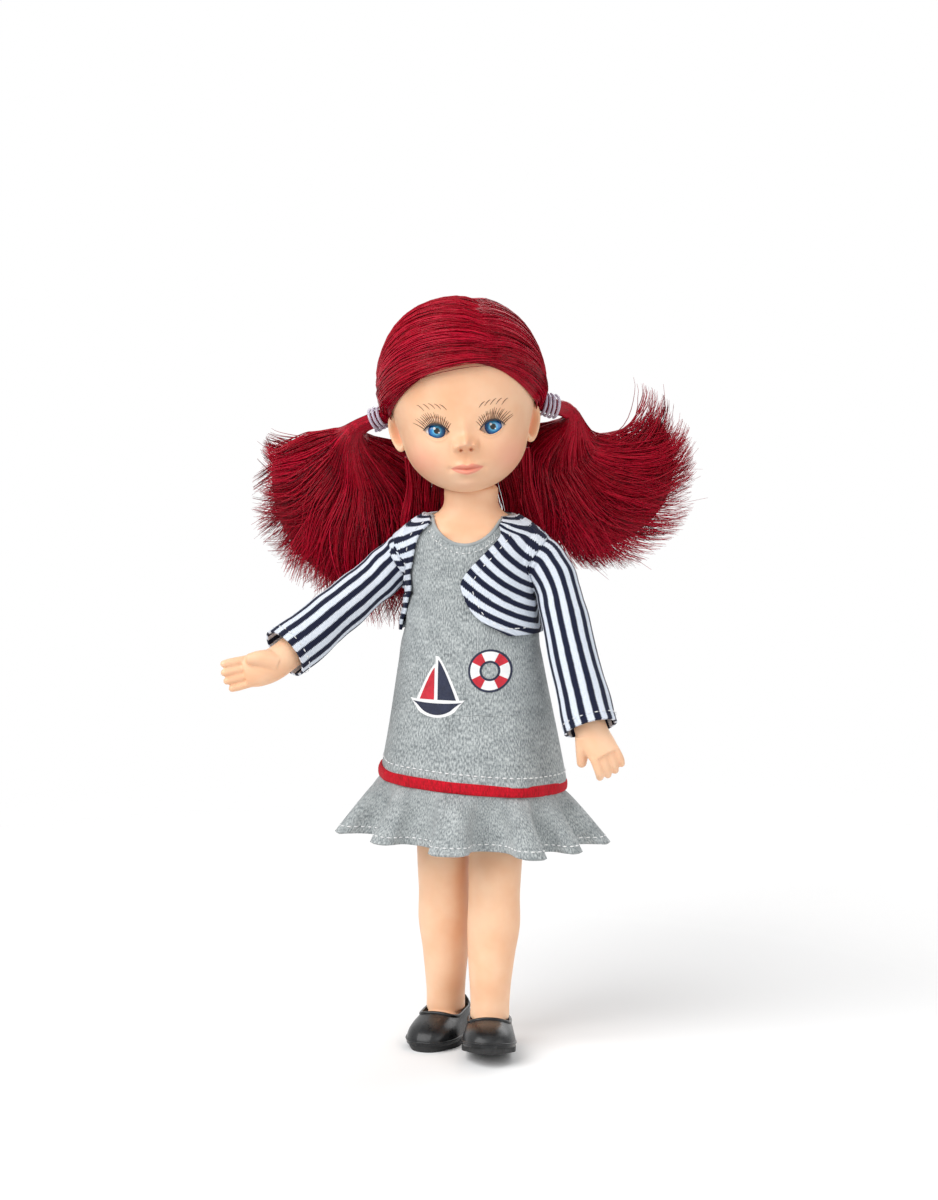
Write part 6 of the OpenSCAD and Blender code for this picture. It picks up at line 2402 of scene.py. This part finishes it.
    def pigtail(self, shop: Workshop, side: Side) -> None:
        """Makes one pigtail: a mass of hair and the strands round it."""
        s = np.linspace(0, 0.86, 40)[:, None]
        v = around(72)[None, :]
        share = 0.5 + 0.44 * np.cos(v) * np.ones_like(s)
        depth = 0.62 * np.sign(np.sin(v)) * np.abs(np.sin(v)) ** 0.8 * np.ones_like(s)
        grid = self.fan(side, s * np.ones_like(v), share, depth, v * np.ones_like(s))
        uv = stack(np.linspace(0, 1, 74)[None, :], s)
        skin = Surface(STANCE.place_head(grid), wrap=True, uv=uv, caps=(True, True))
        mass = mesh_piece(f"{side.word}_pigtail_mass", [skin], [shop.finishes.hair_mass])
        share_out(mass, ("head", "body"), lambda p: self.lag(p, side), "hair_fibre", f"{side.word}_pigtail")
        rng = np.random.default_rng(SEED + 11 + side.value)
        self.nape(shop, side)
        for layer in ("inner", "outer"):
            made = self.locks(side, rng, layer == "outer")
            piece = self.strands(shop, f"{side.word}_{layer}_strands", *made)
            share_out(piece, ("head", "body"), lambda p: self.lag(p, side), "hair_fibre")

    def nape(self, shop: Workshop, side: Side) -> None:
        """Makes the strands that fall behind the neck from under the cap."""
        count, steps, locks = self.nape_strands, 10, self.nape_locks
        rng = np.random.default_rng(SEED + 31 + side.value)
        lock = rng.uniform(0, 1, locks)[rng.integers(0, locks, count)][:, None]
        out = np.clip(lock + rng.normal(0, 0.06, (count, 1)), 0, 1)
        u = np.linspace(0, 1, steps)[None, :]
        x = side.value * (mix(4.0, 17.0, out) + 2.5 * out * u + 0.7 * np.sin(5 * u + 9 * lock))
        y = 14.2 + 2.2 * u - 3.0 * out + rng.normal(0, 0.9, (count, 1)) + 0.5 * np.sin(4 * u + 7 * lock)
        z = mix(self.nape_z[0], self.nape_z[1] + 3.5 * rng.uniform(-1, 1, (count, 1)), u)
        line = stack(x, y, z)
        width = np.clip(1.2 - 0.9 * u ** 4, 0.25, 1) * rng.uniform(0.8, 1.25, (count, 1))
        # Painted shade: the nape's strands are tinted darker than the others, for the shade behind the neck.
        tint = np.clip(0.36 + 0.3 * (lock[:, 0] - 0.5) + rng.normal(0, 0.15, count), 0, 1)
        piece = self.strands(shop, f"{side.word}_nape_strands", line, width, tint)
        share_out(piece, ("head", "body"), self.nape_lag, "hair_fibre")

    def nape_lag(self, p: Array) -> Array:
        """Gives how far points of the nape's hair stay at the back when the head turns."""
        return smooth((self.nape_still_z - p[:, 2]) / self.nape_run)

    def lag(self, p: Array, side: Side) -> Array:
        """Gives how far points of a pigtail stay at the shoulder when the head turns."""
        tie = STANCE.place_head(self.tie_point(side)[None])[0]
        away = np.linalg.norm(p - tie, axis=1)
        return self.lag_share * smooth((away - self.lag_start) / self.lag_run)

    def locks(self, side: Side, rng: np.random.Generator, outer: bool) -> tuple:
        """Gathers strands of a pigtail in pointed, wavy locks.

        Args:
            side: The pigtail's side.
            rng: Source of the small differences.
            outer: Whether the strands lie on the outside.

        Returns:
            The lines, their widths and their tints.
        """
        count, steps, clumps = self.tail_strands, 16, 52
        which = rng.integers(0, clumps, count)
        lock_share = rng.uniform(0.03, 0.97, clumps)
        lock_depth = rng.uniform(-1, 1, clumps)
        lock_depth = np.sign(lock_depth) * np.abs(lock_depth) ** (0.35 if outer else 0.8)
        share = np.clip(lock_share[which] + rng.normal(0, 0.055, count), 0.0, 1.0)[:, None]
        depth = np.clip(lock_depth[which] + rng.normal(0, 0.2, count), -1.05, 1.05)[:, None]
        reach = 0.94 + 0.1 * rng.uniform(-1, 1, clumps)[which][:, None]
        reach = reach - np.abs(rng.normal(0, 0.05, (count, 1)))
        u = np.linspace(0, 1, steps)[None, :]
        s = u * np.clip(reach, 0.55, 1.05)
        spin = np.arctan2(depth, 2 * share - 1) * np.ones_like(u)
        wave = rng.uniform(0, 2 * np.pi, clumps)[which][:, None]
        sway = rng.uniform(0.35, 1, clumps)[which][:, None]
        late = smooth((s - 0.15) / 0.3)
        gather = 0.72 * smooth((s - 0.45) / 0.55)
        share_u = mix(share, lock_share[which][:, None], gather)
        share_u = share_u + 0.05 * sway * np.sin(6.2 * s + wave) * late
        share_u = share_u + rng.normal(0, 0.012, (count, 1)) * smooth((s - 0.3) / 0.6)
        depth_u = mix(depth, lock_depth[which][:, None], gather)
        depth_u = depth_u + 0.26 * sway * np.sin(5.5 * s + 1.7 * wave) * late
        line = self.fan(side, s, np.clip(share_u, -0.03, 1.03), depth_u, spin)
        stray = rng.normal(0, 1, (count, 1, 3)) * (rng.uniform(0, 1, (count, 1, 1)) > 0.94) * 2.2
        line = line + stray * (smooth((s - 0.35) / 0.65) ** 1.5)[..., None]
        width = np.clip(1.25 - 0.95 * u ** 3, 0.2, 1) * rng.uniform(0.75, 1.25, (count, 1))
        tint = 0.48 + 0.26 * rng.uniform(-1, 1, clumps)[which] + rng.normal(0, 0.17, count)
        return line, width, np.clip(tint, 0, 1)


@dataclass
class Studio:
    """The floor, the lamps and the camera, in metres and degrees."""

    azimuth: float = 12.0
    elevation: float = 7.0
    distance: float = 0.86
    lens_per_metre: float = 107.28
    aim: tuple = (0.0022, 0.0, 0.1253)
    lamp_aim: tuple = (0.0, 0.0, 0.11)
    floor_reach: float = 3.0

    def build(self) -> None:
        """Makes the stage."""
        scene = bpy.context.scene
        scene.view_settings.view_transform = "Standard"
        self.floor()
        self.world(scene)
        self.lamp("key", (-0.5, -0.7, 0.85), 1.0, 13.0)
        self.lamp("fill", (0.8, -0.5, 0.45), 0.9, 3.4)
        self.lamp("rim", (0.25, 0.8, 0.8), 0.9, 5.0)
        eye = bpy.data.cameras.new("camera")
        eye.lens = self.lens_per_metre * self.distance
        eye.sensor_width = 36
        eye.clip_start, eye.clip_end = 0.01, 20
        a, e = math.radians(self.azimuth), math.radians(self.elevation)
        way = (math.sin(a) * math.cos(e), -math.cos(a) * math.cos(e), math.sin(e))
        scene.camera = self.point_at("camera", eye, Vector(self.aim) + self.distance * Vector(way), self.aim)

    def point_at(self, name: str, data: bpy.types.ID, where: Sequence[float], aim: tuple) -> Thing:
        """Sets up a lamp or a camera so that it points at a place."""
        obj = show(name, data)
        obj.location = where
        obj.rotation_euler = (Vector(aim) - Vector(where)).to_track_quat("-Z", "Y").to_euler()
        return obj

    def floor(self) -> None:
        """Makes the pale floor."""
        mesh = bpy.data.meshes.new("studio_floor")
        r = self.floor_reach
        mesh.from_pydata([(-r, -r, 0), (r, -r, 0), (r, r, 0), (-r, r, 0)], [], [(0, 1, 2, 3)])
        plane = show("studio_floor", mesh)
        s = Shader("studio_white")
        place = s.place()
        cloud = s.noise(place, 3, 2)
        s.set(Base_Color=s.ramp(cloud, (0.3, "#F4F4F4"), (0.7, "#F8F8F8")))
        s.set(Roughness=0.9, Specular_IOR_Level=0.1)
        away = s.node("ShaderNodeVectorMath", (0, place), operation="LENGTH").outputs["Value"]
        s.set(Alpha=s.ramp(away, (0.16, 1.0), (0.42, 0.0)))
        mesh.materials.append(s.material)

    def world(self, scene: bpy.types.Scene) -> None:
        """Lights the room evenly and shows white behind."""
        world = bpy.data.worlds.new("studio")
        scene.world = world
        world.use_nodes = True
        tree = world.node_tree
        ground = tree.nodes["Background"]
        ground.inputs["Color"].default_value = (1, 1, 1, 1)
        path = tree.nodes.new("ShaderNodeLightPath")
        seen = tree.nodes.new("ShaderNodeMath")
        seen.operation = "MAXIMUM"
        tree.links.new(path.outputs["Is Camera Ray"], seen.inputs[0])
        tree.links.new(path.outputs["Is Glossy Ray"], seen.inputs[1])
        level = tree.nodes.new("ShaderNodeMapRange")
        level.inputs["To Min"].default_value = 0.4
        level.inputs["To Max"].default_value = 1.0
        tree.links.new(seen.outputs[0], level.inputs["Value"])
        tree.links.new(level.outputs[0], ground.inputs["Strength"])

    def lamp(self, name: str, where: tuple, size: float, watts: float) -> None:
        """Hangs one soft lamp that points at the doll."""
        data = bpy.data.lights.new(name, "AREA")
        data.size = size
        data.energy = watts
        self.point_at(name, data, where, self.lamp_aim)


def main() -> None:
    """Builds the doll piece by piece."""
    logging.basicConfig(level=logging.INFO, format="%(message)s")
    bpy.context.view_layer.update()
    shop = Workshop(Finishes(), TubeTree(), StitchTree())
    Studio().build()
    head = Head()
    head.build(shop)
    Hair(head).build(shop)
    torso = Torso()
    torso.build(shop)
    arms = [Arm(Side.LEFT, 30.0, 45.0, HANGING_HAND), Arm(Side.RIGHT, 78.0, 41.0, OPEN_HAND)]
    for arm in arms:
        arm.build(shop)
    for side in Side:
        shoe = Shoe(side)
        shoe.build(shop)
        Leg(side).build(shop, shoe)
    dress = Dress(torso)
    dress.build(shop)
    Bolero(dress).build(shop, arms)


if __name__ == "__main__":
    main()
